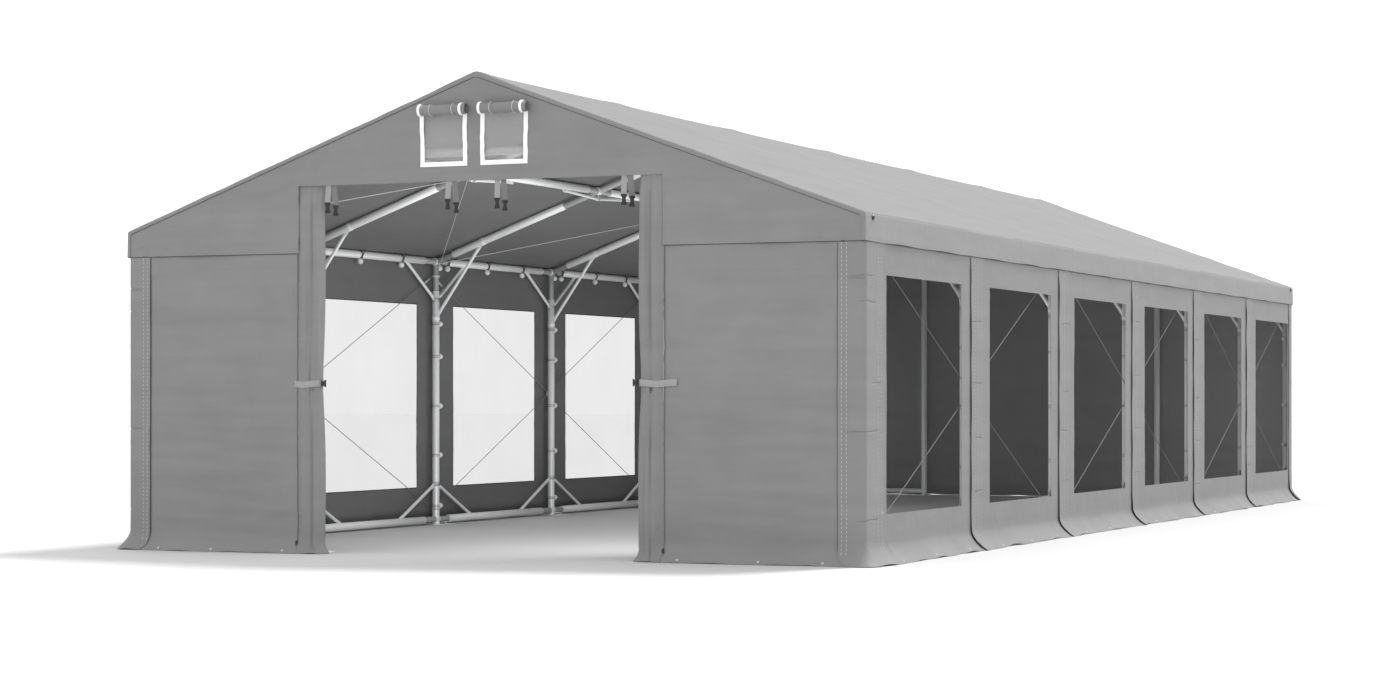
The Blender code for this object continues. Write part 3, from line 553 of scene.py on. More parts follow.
def shell(points: Array, outward: Array, keep: Array | None = None, flat_map: Array | None = None,
          thickness: float = SHEET_THICKNESS) -> Part:
    """Thin closed sheet behind a grid of points.

    The back is the front moved by the thickness against the grid's normals. Edges that only one
    kept quad uses are joined front to back, so holes and outer edges are closed alike.

    Args:
        points: Outer face, rows x columns x 3.
        outward: Direction the outer face looks, one for all points or one each.
        keep: Rows - 1 x columns - 1 truth values; a false one leaves its quad out.
        flat_map: Distances in metres on the flat cut, rows x columns x 2.
        thickness: Distance between the faces.

    Returns:
        The closed part.
    """
    rows, cols = points.shape[:2]
    normal = grid_normals(points, np.broadcast_to(outward, points.shape))
    quads = grid_quads(rows, cols)
    if keep is not None:
        quads = quads[keep.ravel()]
    total = rows * cols
    sides = np.concatenate([quads[:, [k, (k + 1) % 4]] for k in range(4)])
    key = sides.min(axis=1) * total + sides.max(axis=1)
    _, first, uses = np.unique(key, return_index=True, return_counts=True)
    rim = sides[first[uses == 1]]
    strip = np.stack([rim[:, 1], rim[:, 0], rim[:, 0] + total, rim[:, 1] + total], axis=1)
    front, back = points.reshape(-1, 3), (points - normal * thickness).reshape(-1, 3)
    faces = np.concatenate([quads, quads[:, ::-1] + total, strip])
    used = np.zeros(2 * total, bool)
    used[faces.ravel()] = True
    renumber = np.cumsum(used) - 1
    both = None
    if flat_map is not None:
        both = np.concatenate([flat_map.reshape(-1, 2)] * 2)[used]
    return Part(np.concatenate([front, back])[used], [renumber[faces]], both)


def inner_faces(part: Part, outward: Array) -> Array:
    """Choice of look for a sheet's faces: 1 where a face looks against the outward direction, or else 0."""
    corners = part.points[part.faces[0][:, :3]]
    normal = unit(np.cross(corners[:, 1] - corners[:, 0], corners[:, 2] - corners[:, 0]))
    way = np.sign(signed_volume(part.points - part.points.mean(axis=0), part.faces))
    return (way * (normal @ outward) < -0.5).astype(int)


def loft(rings: Array, flat_map: Array | None = None) -> Part:
    """Closed body through rings of equal point counts, each end closed by one face."""
    count, sides = rings.shape[:2]
    caps = np.stack([np.arange(sides)[::-1], np.arange(sides) + (count - 1) * sides])
    return Part(rings.reshape(-1, 3), [grid_quads(count, sides, wrap=True), caps], flat_map)


def path_frames(path: Array, toward: Array) -> tuple[Array, Array, Array]:
    """Tangent, side and up directions along a path; up is toward with its share along the path taken off."""
    tangent = unit(np.gradient(path, axis=0))
    up = np.broadcast_to(toward, path.shape)
    up = unit(up - tangent * np.einsum("ij,ij->i", up, tangent)[:, None])
    return tangent, np.cross(tangent, up), up


def sweep(path: Array, section: Array, toward: Array, scale: Array | float = 1.0) -> Part:
    """Profile of (side, up) points carried along a path.

    Args:
        path: Points of the path.
        section: Profile points, or one profile for each path point.
        toward: Direction that the profile's up axis leans to.
        scale: Factor on the profile, one or one for each path point.

    Returns:
        The closed part.
    """
    _, side, up = path_frames(path, toward)
    profile = np.broadcast_to(section, (len(path), *section.shape[-2:]))
    factor = np.broadcast_to(np.asarray(scale, float), (len(path),))[:, None, None]
    profile = profile * factor
    rings = path[:, None] + side[:, None] * profile[..., :1] + up[:, None] * profile[..., 1:]
    around = np.linspace(0, 1, profile.shape[1])
    along = path_length(path)
    flat_map = np.stack(np.broadcast_arrays(along[:, None], around[None] * 0.05), axis=-1)
    return loft(rings, flat_map.reshape(-1, 2))


def circle(sides: int, width: float = 1.0, height: float = 1.0) -> Array:
    """Ellipse of (side, up) points with the given half axes."""
    turn = 2 * math.pi * (np.arange(sides) + 0.5) / sides
    return np.stack([width * np.cos(turn), height * np.sin(turn)], axis=1)


def rounded_rectangle(half_width: float, half_height: float, radius: float, steps: int = 3) -> Array:
    """Rectangle of (side, up) points with quarter circles at its corners."""
    turn = np.linspace(0, math.pi / 2, steps)
    corner = radius * np.stack([np.cos(turn), np.sin(turn)], axis=1)
    out = []
    for k, (sx, sy) in enumerate(((1, 1), (-1, 1), (-1, -1), (1, -1))):
        angle = k * math.pi / 2
        spin = np.array([[math.cos(angle), math.sin(angle)], [-math.sin(angle), math.cos(angle)]])
        out.append(corner @ spin + [sx * (half_width - radius), sy * (half_height - radius)])
    return np.concatenate(out)


def turned(start: Array, axis: Array, profile: Sequence[tuple[float, float]], sides: int = 16) -> Part:
    """Turned body: a profile of (distance along the axis, radius) carried round it."""
    steps = np.array(profile, float)
    along = unit(np.asarray(axis, float))
    helper = X_AXIS if abs(along[0]) < 0.7 else Y_AXIS
    side = unit(np.cross(along, helper))
    up = np.cross(along, side)
    turn = circle(sides)
    spokes = turn[:, :1] * side + turn[:, 1:] * up
    rings = start + steps[:, None, :1] * along + steps[:, None, 1:] * spokes[None]
    return loft(rings)


def ball_profile(radius: float, steps: int = 9) -> list[tuple[float, float]]:
    """Profile of a ball: radius cos(a) at distance radius sin(a), short of the poles."""
    angles = np.linspace(-1.45, 1.45, steps)
    return [(radius * math.sin(a), radius * math.cos(a)) for a in angles]


def plate(centre: Array, outline: Array, normal: Array, toward: Array, thickness: float,
          chamfer: float = 0.001) -> Part:
    """Flat plate with chamfered rims: an outline carried through the plate's thickness.

    Args:
        centre: Middle of the plate.
        outline: (side, up) points.
        normal: Direction through the plate.
        toward: Direction of the outline's up axis.
        thickness: Distance between the faces.
        chamfer: Width of the slanted rim.

    Returns:
        The closed part.
    """
    half = thickness / 2
    steps = np.array([-half, -half + chamfer, half - chamfer, half])
    n, up = unit(np.asarray(normal, float)), unit(np.asarray(toward, float))
    side = np.cross(up, n)
    reach = np.abs(outline).max()
    shrink = np.array([1 - chamfer / reach, 1.0, 1.0, 1 - chamfer / reach])
    flat = outline[None] * shrink[:, None, None]
    rings = centre + steps[:, None, None] * n + flat[..., :1] * side + flat[..., 1:] * up
    return loft(rings)


def scattered(part: Part, places: Array, along: Array, across: Array, out: Array) -> Part:
    """Copies of a small part, one at each place, with its axes along the given directions."""
    axes = np.stack(np.broadcast_arrays(along, across, out, places)[:3], axis=1)
    points = places[:, None] + np.einsum("pk,nkc->npc", part.points, axes)
    shift = np.arange(len(places))[:, None, None] * len(part.points)
    faces = [(group[None] + shift).reshape(-1, group.shape[1]) for group in part.faces]
    return Part(points.reshape(-1, 3), faces)


# Layout shared by all pieces

@dataclass(frozen=True)
class Tent:
    """Driving sizes of the tent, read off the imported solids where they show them.

    A sheet's depth counts inwards from the outer face; the layers lie one sheet and a gap apart.
    """

    half_width: float
    half_length: float
    ridge: float
    eave: float
    valance_bottom: float
    bays: int = 6
    bay: float = 2.0
    layer: float = 0.0043
    half_door: float = 1.235
    lintel: float = 2.278
    wall_top: float = 1.985
    flap_top: float = 1.913
    frame_inset: float = 0.050
    post_x: float = 2.440
    purlin_x: float = 1.065
    tube: float = 0.028
    stub: float = 0.0235
    rail_stub: float = 0.0225

    @classmethod
    def from_frame(cls, eave_fold: float) -> "Tent":
        """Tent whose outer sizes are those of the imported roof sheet.

        Args:
            eave_fold: Height of the fold between slope and valance.

        Returns:
            The layout.
        """
        low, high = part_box("roof_cover")
        return cls(high.x, high.y - cls.layer, high.z, eave_fold, low.z)

    @property
    def slope(self) -> float:
        """Fall of the roof for each metre across."""
        return (self.ridge - self.eave) / self.half_width

    @property
    def pitch(self) -> float:
        """Roof angle."""
        return math.atan(self.slope)

    def roof_z(self, x: Array | float, depth: Array | float = 0.0) -> Array:
        """Height above x of the surface at a depth under the roof: ridge - slope |x| - depth / cos pitch."""
        return self.ridge - self.slope * np.abs(x) - depth / math.cos(self.pitch)

    def frame_y(self, index: int) -> float:
        """Place of a portal frame along the ridge; the end frames stand just inside the gables."""
        reach = self.half_length - self.frame_inset
        return max(-reach, min(reach, index * self.bay - self.half_length))

    @property
    def axis_depth(self) -> float:
        """Depth of the rails' axes under the slope."""
        return self.layer + self.tube

    @property
    def rafter_depth(self) -> float:
        """Depth of the rafters' axes, a millimetre lower than the rails'."""
        return self.axis_depth + 0.001

    @property
    def ridge_rail_z(self) -> float:
        """Height of the ridge rail's axis, a little lower than where its tube would touch both slopes."""
        return float(self.roof_z(0.0, self.layer + self.tube / math.cos(math.pi / 6)))


TENT = Tent.from_frame(2.025)
SIDES = {"left": -1, "right": 1}
ENDS = {"front": -1, "rear": 1}
SKIRT_HEIGHT = 0.125
SIDE_SPREAD = 0.088
END_SPREAD = 0.050
WINDOW_START, WINDOW_END = 0.377, 1.788
WINDOW_BOTTOM, WINDOW_TOP = 0.289, 1.678


# Sheets that hang

@dataclass(frozen=True)
class Creases:
    """Thin slanted folds that stand out of a sheet, each with its own seeded place and size."""

    seed: int
    count: int
    height: float
    width: float
    length: float
    region: tuple[float, float, float, float]
    slant: float = 0.3

    def at(self, a: Array, b: Array) -> Array:
        """Sum of h exp(-(across / width)^2) exp(-(along / length)^2) over the creases.

        A crease runs along a with its own slant; the region is its range of a and then of b.
        """
        rng = np.random.default_rng(self.seed)
        total = np.zeros(np.broadcast(a, b).shape)
        a0, a1, b0, b1 = self.region
        for _ in range(self.count):
            ca, cb = rng.uniform(a0, a1), rng.uniform(b0, b1)
            slant = rng.uniform(-self.slant, self.slant)
            size = self.height * rng.uniform(0.5, 1.3)
            across = (b - cb - slant * (a - ca)) / (self.width * rng.uniform(0.7, 1.4))
            along = (a - ca) / (self.length * rng.uniform(0.6, 1.3))
            total = total + size * np.exp(-(across**2) - along**2)
        return total


@dataclass(frozen=True)
class Grooves:
    """Short sharp creases across a narrow strip of cloth, each with its height and reach across it."""

    levels: tuple[tuple[float, float, float, float], ...]
    depth: float = 0.0048
    half_width: float = 0.0030

    def at(self, a: Array, z: Array) -> Array:
        """Depth of the creases: -d exp(-(up / half width)^2) between each crease's two ends.

        A level is (height, first place, last place, rise from the first to the last place).
        """
        total = np.zeros(np.broadcast(a, z).shape)
        for height, start, end, rise in self.levels:
            share = (a - start) / (end - start)
            line = height + rise * (share - 0.5) + 0.0020 * np.sin(9 * share + 40 * height)
            window = ease(share, -0.02, 0.12) * (1 - ease(share, 0.88, 1.02))
            total = total - self.depth * window * bell(z, line, self.half_width)
        return total

    def rows(self, reach: float = 0.010, step: float = 0.0025) -> list[float]:
        """Heights for grid rows that are close enough together to show the creases."""
        spread = np.arange(-reach, reach + step / 2, step)
        return [round(level[0] + float(shift), 6) for level in self.levels for shift in spread]


@dataclass(frozen=True)
class Wall:
    """Upright side of the tent as a surface: a along it, z up, with its drape and its skirt.

    All sheets on one wall share it, each at its own depth, so that they never cross.
    """

    seed: int
    outward: tuple[float, float]
    reach: float
    half: float
    spread: float
    drape: float = 0.0016

    @property
    def out(self) -> Array:
        """Outward direction."""
        return vec(*self.outward, 0)

    @property
    def along(self) -> Array:
        """Direction in which a grows, along X on the ends and along Y on the sides."""
        return vec(abs(self.outward[1]), abs(self.outward[0]), 0)

    def relief(self, a: Array, z: Array) -> Array:
        """Outward relief: broad swells, level wrinkles and creases, calm at the top and the corners."""
        calm = (1 - ease(z, 1.66, 1.86)) * ease(self.half - np.abs(a), 0.02, 0.30)
        swell = Ripples(self.seed, self.drape * 1.2, (0.7, 2.2), (0.6, 2.2)).at(a, z)
        level = Ripples(self.seed + 1, self.drape * 0.55, (0.9, 3.0), (0.10, 0.32)).at(a, z)
        upright = Ripples(self.seed + 2, self.drape * 0.5, (0.16, 0.5), (1.5, 6.0)).at(a, z)
        fold = Creases(self.seed + 3, round(9 * self.half), self.drape * 1.6, 0.022, 0.20,
                       (-self.half, self.half, 0.15, 1.75), 0.45).at(a, z)
        return calm * (swell + level + upright + fold)

    def skirt(self, a: Array, z: Array) -> Array:
        """Outward throw of the skirt: spread (1 - z / height)^1.7, lumpy along the hem."""
        low = np.clip(1 - z / SKIRT_HEIGHT, 0, 1)
        lumps = Ripples(self.seed + 4, 0.07, (0.30, 1.40), (5.0, 9.0)).at(a, z)
        return self.spread * low**1.7 * (1 + np.clip(lumps, -0.4, 0.4))

    def lift(self, a: Array, z: Array) -> Array:
        """Small rise of the hem off the ground, gone at the top of the skirt."""
        low = np.clip(1 - z / SKIRT_HEIGHT, 0, 1)
        wave = Ripples(self.seed + 5, 0.0035, (0.25, 0.9), (9.0, 19.0)).at(a, 0 * z)
        return low * np.clip(wave + 0.003, 0.0018, 1)

    def surface(self, depth: float, extra: Surface | None = None) -> Surface:
        """Surface at a depth behind the outer face: point = place + out (relief + skirt + extra)."""
        def at(a: Array, z: Array) -> Array:
            """Points of the surface at places a along the wall and z up it."""
            a, z = np.broadcast_arrays(np.asarray(a, float), np.asarray(z, float))
            throw = self.reach - depth + self.relief(a, z) + self.skirt(a, z)
            if extra is not None:
                throw = throw + extra(a, z)
            height = z + self.lift(a, z)
            return self.along * a[..., None] + self.out * throw[..., None] + Z_AXIS * height[..., None]
        return at


WALLS = {
    "left": Wall(100, (-1, 0), TENT.half_width, TENT.half_length, SIDE_SPREAD, 0.0006),
    "right": Wall(200, (1, 0), TENT.half_width, TENT.half_length, SIDE_SPREAD, 0.0006),
    "front": Wall(300, (0, -1), TENT.half_length, TENT.half_width, END_SPREAD, 0.0026),
    "rear": Wall(400, (0, 1), TENT.half_length, TENT.half_width, END_SPREAD, 0.0026),
}
SKIRT_ROWS = (0.0, 0.012, 0.026, 0.042, 0.060, 0.080, 0.102, SKIRT_HEIGHT)


def surface_normals(surface: Surface, a: Array, b: Array, outward: Array,
                    step: float = 0.003) -> Array:
    """Unit normals of a surface by central differences, on the outward side."""
    slope_a = surface(a + step, b) - surface(a - step, b)
    slope_b = surface(a, b + step) - surface(a, b - step)
    normal = unit(np.cross(slope_a, slope_b))
    flip = np.sign((normal * outward).sum(axis=-1, keepdims=True))
    return normal * np.where(flip == 0, 1, flip)


def sheet_part(surface: Surface, a: Array, b: Array, outward: Array,
               keep: Array | None = None, bottom: Array | None = None) -> Part:
    """Sheet on a surface over a grid of places.

    Args:
        surface: Outer face as a function of a and b.
        a: Places along the sheet, one for each column.
        b: Places up the sheet, one for each row.
        outward: Direction the outer face looks.
        keep: Quads that are kept.
        bottom: Lowest b of each column, where the lower corners are rounded.

    Returns:
        The closed sheet.
    """
    across, up = np.meshgrid(a, b)
    if bottom is not None:
        share = (up - b[0]) / (b[-1] - b[0])
        up = bottom + share * (b[-1] - bottom)
    flat_map = np.stack([across, up], axis=-1)
    return shell(surface(across, up), outward, keep, flat_map)


def capsule(length: float, width: float, height: float, sides: int = 4) -> Part:
    """Small lying stitch, long along its first axis: an ellipse that shrinks towards both ends."""
    turn = circle(sides)
    shares = [(-0.5, 0.45), (-0.32, 1.0), (0.32, 1.0), (0.5, 0.45)]
    rings = [np.stack([np.full(sides, length * s), turn[:, 0] * width / 2 * k, turn[:, 1] * height / 2 * k],
                      axis=1) for s, k in shares]
    return loft(np.array(rings))


class Seam(Enum):
    """Kinds of seam: distance between stitches, length of one and width of its thread.

    Real stitches are finer; these are drawn coarse enough to show.
    """

    FINE = (0.020, 0.012, 0.0020)
    PANEL = (0.030, 0.018, 0.0020)
    VALANCE = (0.036, 0.022, 0.0024)
    BINDING = (0.014, 0.009, 0.0016)
    BOX = (0.006, 0.004, 0.0012)
    FLAP = (0.025, 0.0145, 0.0052)
    STRIP = (0.025, 0.0145, 0.0066)


def stitch_row(surface: Surface, start: tuple[float, float], end: tuple[float, float],
               outward: Array, seam: Seam = Seam.FINE) -> Part:
    """Row of stitches on a surface, from one place to another.

    Args:
        surface: The sheet's outer face.
        start: First place on it.
        end: Last place on it.
        outward: Direction the outer face looks.
        seam: Kind of seam.

    Returns:
        All stitches as one part.
    """
    pitch, length, width = seam.value
    reach = math.dist(start, end)
    share = (np.arange(max(1, int(reach / pitch))) + 0.5) * pitch / reach
    a = start[0] + (end[0] - start[0]) * share
    b = start[1] + (end[1] - start[1]) * share
    places = surface(a, b)
    ahead = surface(a + (end[0] - start[0]) * 1e-3, b + (end[1] - start[1]) * 1e-3)
    along = unit(ahead - places)
    out = surface_normals(surface, a, b, outward)
    stitch = capsule(length, width, width * 0.5)
    return scattered(stitch, places + out * 0.0002, along, np.cross(out, along), out)


def ring(middle: float, half_width: float, half_height: float, sides: int = 14, steps: int = 6) -> Part:
    """Closed loop round the third axis: an ellipse carried round a circle.

    Args:
        middle: Radius of the circle.
        half_width: Half axis of the ellipse away from the circle's centre.
        half_height: Half axis of the ellipse along the third axis.
        sides: Points round the circle.
        steps: Points round the ellipse.

    Returns:
        The loop.
    """
    turn, section = circle(sides), circle(steps, half_width, half_height)
    reach = middle + section[None, :, :1]
    rise = np.broadcast_to(section[None, :, 1:], (sides, steps, 1))
    points = np.concatenate([turn[:, None] * reach, rise], axis=2)
    return Part(points.reshape(-1, 3), [grid_quads(sides, steps, wrap=True, loop=True)])


def eyelet_row(surface: Surface, places: Array, height: float, outward: Array) -> Part:
    """Eyelets set into a sheet at one height."""
    b = np.full(len(places), height)
    points = surface(places, b)
    out = surface_normals(surface, places, b, outward)
    along = unit(np.cross(Z_AXIS, out))
    return scattered(ring(0.0052, 0.0020, 0.0012), points + out * 0.0004, along, np.cross(out, along), out)


# Roof sheet

@dataclass
class Roof:
    """One sheet over both slopes, folded down as side valances and as a soft hem round each end."""

    tent: Tent = TENT
    eave_radius: float = 0.022
    ridge_radius: float = 0.060
    verge_radius: float = 0.012
    verge_width: float = 0.026
    verge_bulge: float = 0.002
    step: float = 0.040
    long_step: float = 0.130
    sag: float = 0.011

    def lengths(self) -> tuple[float, float, float, float]:
        """Lengths of ridge bend, slope, eave bend and valance on one side of the outer face."""
        pitch, tent = self.tent.pitch, self.tent
        low_x = tent.half_width - self.eave_radius * (1 - math.sin(pitch))
        slope = (low_x - self.ridge_radius * math.sin(pitch)) / math.cos(pitch)
        centre = tent.roof_z(tent.half_width - self.eave_radius, self.eave_radius)
        return (self.ridge_radius * pitch, slope, self.eave_radius * (math.pi / 2 - pitch),
                float(centre) - tent.valance_bottom)

    def section(self, part: Array, share: Array, depth: Array) -> tuple[Array, Array, Array, Array]:
        """Cross-section of one side at a depth: place (x, z) and outward direction (x, z).

        Ridge and eave are circle arcs that touch the slope, round centres that lie a radius under
        it; the slope and the valance are straight between the arcs' ends.

        Args:
            part: 0 ridge bend, 1 slope, 2 eave bend, 3 valance.
            share: Place within that part, from the ridge outwards, 0 to 1.
            depth: Distance inwards from the outer face.

        Returns:
            x, z, outward x and outward z.
        """
        tent, pitch = self.tent, self.tent.pitch
        sin, cos = math.sin(pitch), math.cos(pitch)
        rho, r = self.ridge_radius, self.eave_radius
        ridge_z = tent.ridge - (depth + rho) / cos
        eave_x = tent.half_width - depth - r
        eave_z = tent.roof_z(eave_x, depth + r)
        turn = np.select([part == 0, part == 1, part == 2], [
            pitch * share, pitch + 0 * share, pitch + (math.pi / 2 - pitch) * share], math.pi / 2)
        start_x, start_z = rho * sin, ridge_z + rho * cos
        end_x, end_z = eave_x + r * sin, eave_z + r * cos
        x = np.select([part == 0, part == 1, part == 2], [
            rho * np.sin(turn), start_x + (end_x - start_x) * share, eave_x + r * np.sin(turn)],
            tent.half_width - depth)
        z = np.select([part == 0, part == 1, part == 2], [
            ridge_z + rho * np.cos(turn), start_z + (end_z - start_z) * share, eave_z + r * np.cos(turn)],
            eave_z + (tent.valance_bottom - eave_z) * share)
        return x, z, np.sin(turn), np.cos(turn)

    def relief(self, s: Array, y: Array, side: Array) -> Array:
        """Outward relief of the slope at distance s from the ridge.

        The cloth sags by a half sine between frames and between rails, stands up over the frames at
        the ridge, and carries long streaks and creases along the tent.
        """
        frames = np.array([self.tent.frame_y(k) for k in range(self.tent.bays + 1)])
        place = np.interp(y, frames, np.arange(len(frames)))
        bay = np.abs(np.sin(np.pi * place))
        slope_end = sum(self.lengths()[:2])
        purlin = self.tent.purlin_x / math.cos(self.tent.pitch)
        within = np.where(s < purlin, s / purlin, (s - purlin) / (slope_end - purlin))
        span = np.sin(np.pi * np.clip(within, 0, 1))
        gap = np.abs(y[..., None] - frames).min(axis=-1)
        hump = 0.006 * bell(gap, 0, 0.20) * bell(s, 0, 0.28) + 0.0015 * bell(gap, 0, 0.05) * (s < slope_end)
        streaks = Ripples(11, 0.0017, (1.5, 6.0), (0.13, 0.55), 14).at(y, side * s)
        creases = Creases(12, 70, 0.0032, 0.020, 0.55, (-6.0, 6.0, -2.6, 2.6), 0.10).at(y, side * s)
        free = 0.25 + 0.75 * span * (0.4 + 0.6 * bay)
        return hump - self.sag * bay**0.8 * span + free * (streaks + creases) * (s < slope_end + 0.02)

    def build(self) -> Piece:
        """The sheet with its valances and end hems in lighter tones of painted light, a seam, and a dark tape
        of painted shadow along each valance.
        """
        tent = self.tent
        ridge, slope, eave, valance = self.lengths()
        counts = (2, round(slope / self.step), 5, 7)
        half = [(k, share) for k, n in enumerate(counts) for share in np.linspace(0, 1, n + 1)[1:]]
        rows = [(1, k, s) for k, s in reversed(half)] + [(1, 0, 0.0)] + [(-1, k, s) for k, s in half]
        side, part, share = (np.array(column, float)[:, None] for column in zip(*rows))
        outer_y = tent.half_length + tent.layer
        turn_y = outer_y - self.verge_radius
        near_frames = [tent.frame_y(k) + shift for k in range(tent.bays + 1)
                       for shift in (-0.10, -0.06, -0.03, 0.0, 0.03, 0.06, 0.10)]
        main = ticks([-turn_y, turn_y, *(y for y in near_frames if abs(y) < turn_y)], self.long_step)
        angles = np.linspace(0, math.pi / 2, 5)[1:]
        drop = np.linspace(0, 1, 6)[1:]
        end_depth = np.concatenate([self.verge_radius * (1 - np.cos(angles)),
                                    self.verge_radius + drop * (self.verge_width - self.verge_radius)])
        bulge = self.verge_bulge * np.sin(math.pi * drop)
        end_y = np.concatenate([turn_y + self.verge_radius * np.sin(angles), outer_y + bulge])
        end_reach = np.concatenate([self.verge_radius * angles,
                                    self.verge_radius * math.pi / 2 + drop * self.verge_width])
        y = np.concatenate([-end_y[::-1], main, end_y])[None]
        depth = np.concatenate([end_depth[::-1], 0 * main, end_depth])[None]
        cut = np.concatenate([-turn_y - end_reach[::-1], main, turn_y + end_reach])[None]
        shape = np.broadcast_shapes(side.shape, y.shape)
        side, part, share = (np.broadcast_to(v, shape) for v in (side, part, share))
        y, depth, cut = (np.broadcast_to(v, shape) for v in (y, depth, cut))
        x, z, out_x, out_z = self.section(part, share, depth)
        sizes = np.array([ridge, slope, eave, valance])
        starts = np.concatenate([[0], np.cumsum(sizes)])[:4]
        s = starts[part.astype(int)] + share * sizes[part.astype(int)]
        on_top = 1 - depth / self.verge_width
        height = self.relief(s, np.clip(y, -turn_y, turn_y), side) * on_top
        fall = np.where(part == 3, share, 0.0)
        waves = Ripples(21, 0.0016, (0.35, 1.3), (2.0, 5.0)).at(y, side * 3)
        height = height + fall * (0.0025 + np.clip(waves, -0.002, 0.004)) * np.clip(on_top, 0.2, 1)
        hem = Ripples(22, 0.0016, (0.4, 1.6), (3.0, 5.0)).at(y, side * 3) * fall
        points = np.stack([side * (x + out_x * height), y, z + out_z * height + hem], axis=-1)
        outward = np.stack([side * out_x, 0 * x, out_z], axis=-1)
        flat_map = np.stack([side * s, cut], axis=-1)
        cloth = shell(points, outward, flat_map=flat_map)
        middles = cloth.points[cloth.faces[0]].mean(axis=1)
        on_hem = np.abs(middles[:, 1]) > outer_y - 0.003
        on_valance = np.abs(middles[:, 0]) > tent.half_width - 0.004
        sheet = Shape()
        # One sheet in three tones by where its faces lie: roof, lighter valance, and the wall's tone on the
        # end hems. This is painted light.
        choice = np.select([on_hem, on_valance], [2, 1], 0)
        sheet.add(cloth, Look.ROOF, Look.VALANCE, Look.WALL, choice=choice)
        self.sew(sheet)
        self.grommets(sheet)
        for way in SIDES.values():
            # Dark tape along the valance's lower edge: painted shadow line under the valance.
            line = np.stack([np.full(60, way * (tent.half_width - 0.0012)),
                             np.linspace(-tent.half_length + 0.004, tent.half_length - 0.004, 60),
                             np.full(60, tent.valance_bottom - 0.0008)], axis=-1)
            sheet.add(band(line, 0.0070, 0.0012, Z_AXIS), Look.PAINTED_SHADOW_LINE)
        piece = sheet.build("roof_sheet")
        return settle(piece, ["roof_cover"])

    def grommets(self, shape: Shape) -> None:
        """Black ring at each end of both valances, where the sheet is tied down, with a black disc of painted
        shade in its hole and a white dot of painted highlight above it.
        """
        tent = self.tent
        for side in SIDES.values():
            for end in ENDS.values():
                centre = vec(side * (tent.half_width + 0.0035), end * (tent.half_length - 0.120), 2.000)
                out = vec(side, 0, 0)
                loop = ring(0.0130, 0.0042, 0.0030, 18, 6)
                shape.add(scattered(loop, centre[None], Y_AXIS[None], Z_AXIS[None], out[None]), Look.BLACK)
                # Black disc inside the ring: painted shade of the hole.
                shape.add(turned(centre - out * 0.002, out, [(0, 0.0100), (0.0016, 0.0096)], 14), Look.BLACK)
                # Small white dot above the hole: painted highlight.
                highlight_dot = centre + vec(0, end * 0.012, 0.010)
                profile = [(0.001, 0.0046), (0.005, 0.0042), (0.007, 0.0022)]
                shape.add(turned(highlight_dot, out, profile, 10), Look.WHITE)

    def sew(self, shape: Shape) -> None:
        """Seam of stitches along each valance, 14 mm above its bottom edge."""
        tent = self.tent
        for side in SIDES.values():
            waves = Ripples(21, 0.0016, (0.35, 1.3), (2.0, 5.0))

            def face(a: Array, b: Array, side: int = side) -> Array:
                """Outer face of the valance near its bottom."""
                swell = 0.0025 + np.clip(waves.at(a, side * 3 + 0 * b), -0.002, 0.004)
                return np.stack([side * (tent.half_width + 0.9 * swell), a, b], axis=-1)

            low = tent.valance_bottom + 0.014
            reach = tent.half_length - 0.05
            shape.add(stitch_row(face, (-reach, low), (reach, low), vec(side, 0, 0), Seam.VALANCE), Look.SEAM)


# Gables with their vents

def fan(x: Array, z: Array, centre: tuple[float, float], count: float, reach: float, height: float) -> Array:
    """Pull marks that spread from a fixed corner, calm at it: h sin(count angle) exp(-(r / reach)^2)."""
    dx, dz = x - centre[0], z - centre[1]
    radius = np.hypot(dx, dz)
    angle = np.arctan2(dz, dx)
    fade = np.exp(-((radius / reach) ** 2)) * ease(radius, 0.02, 0.14)
    return height * np.sin(count * angle + centre[0]) * fade


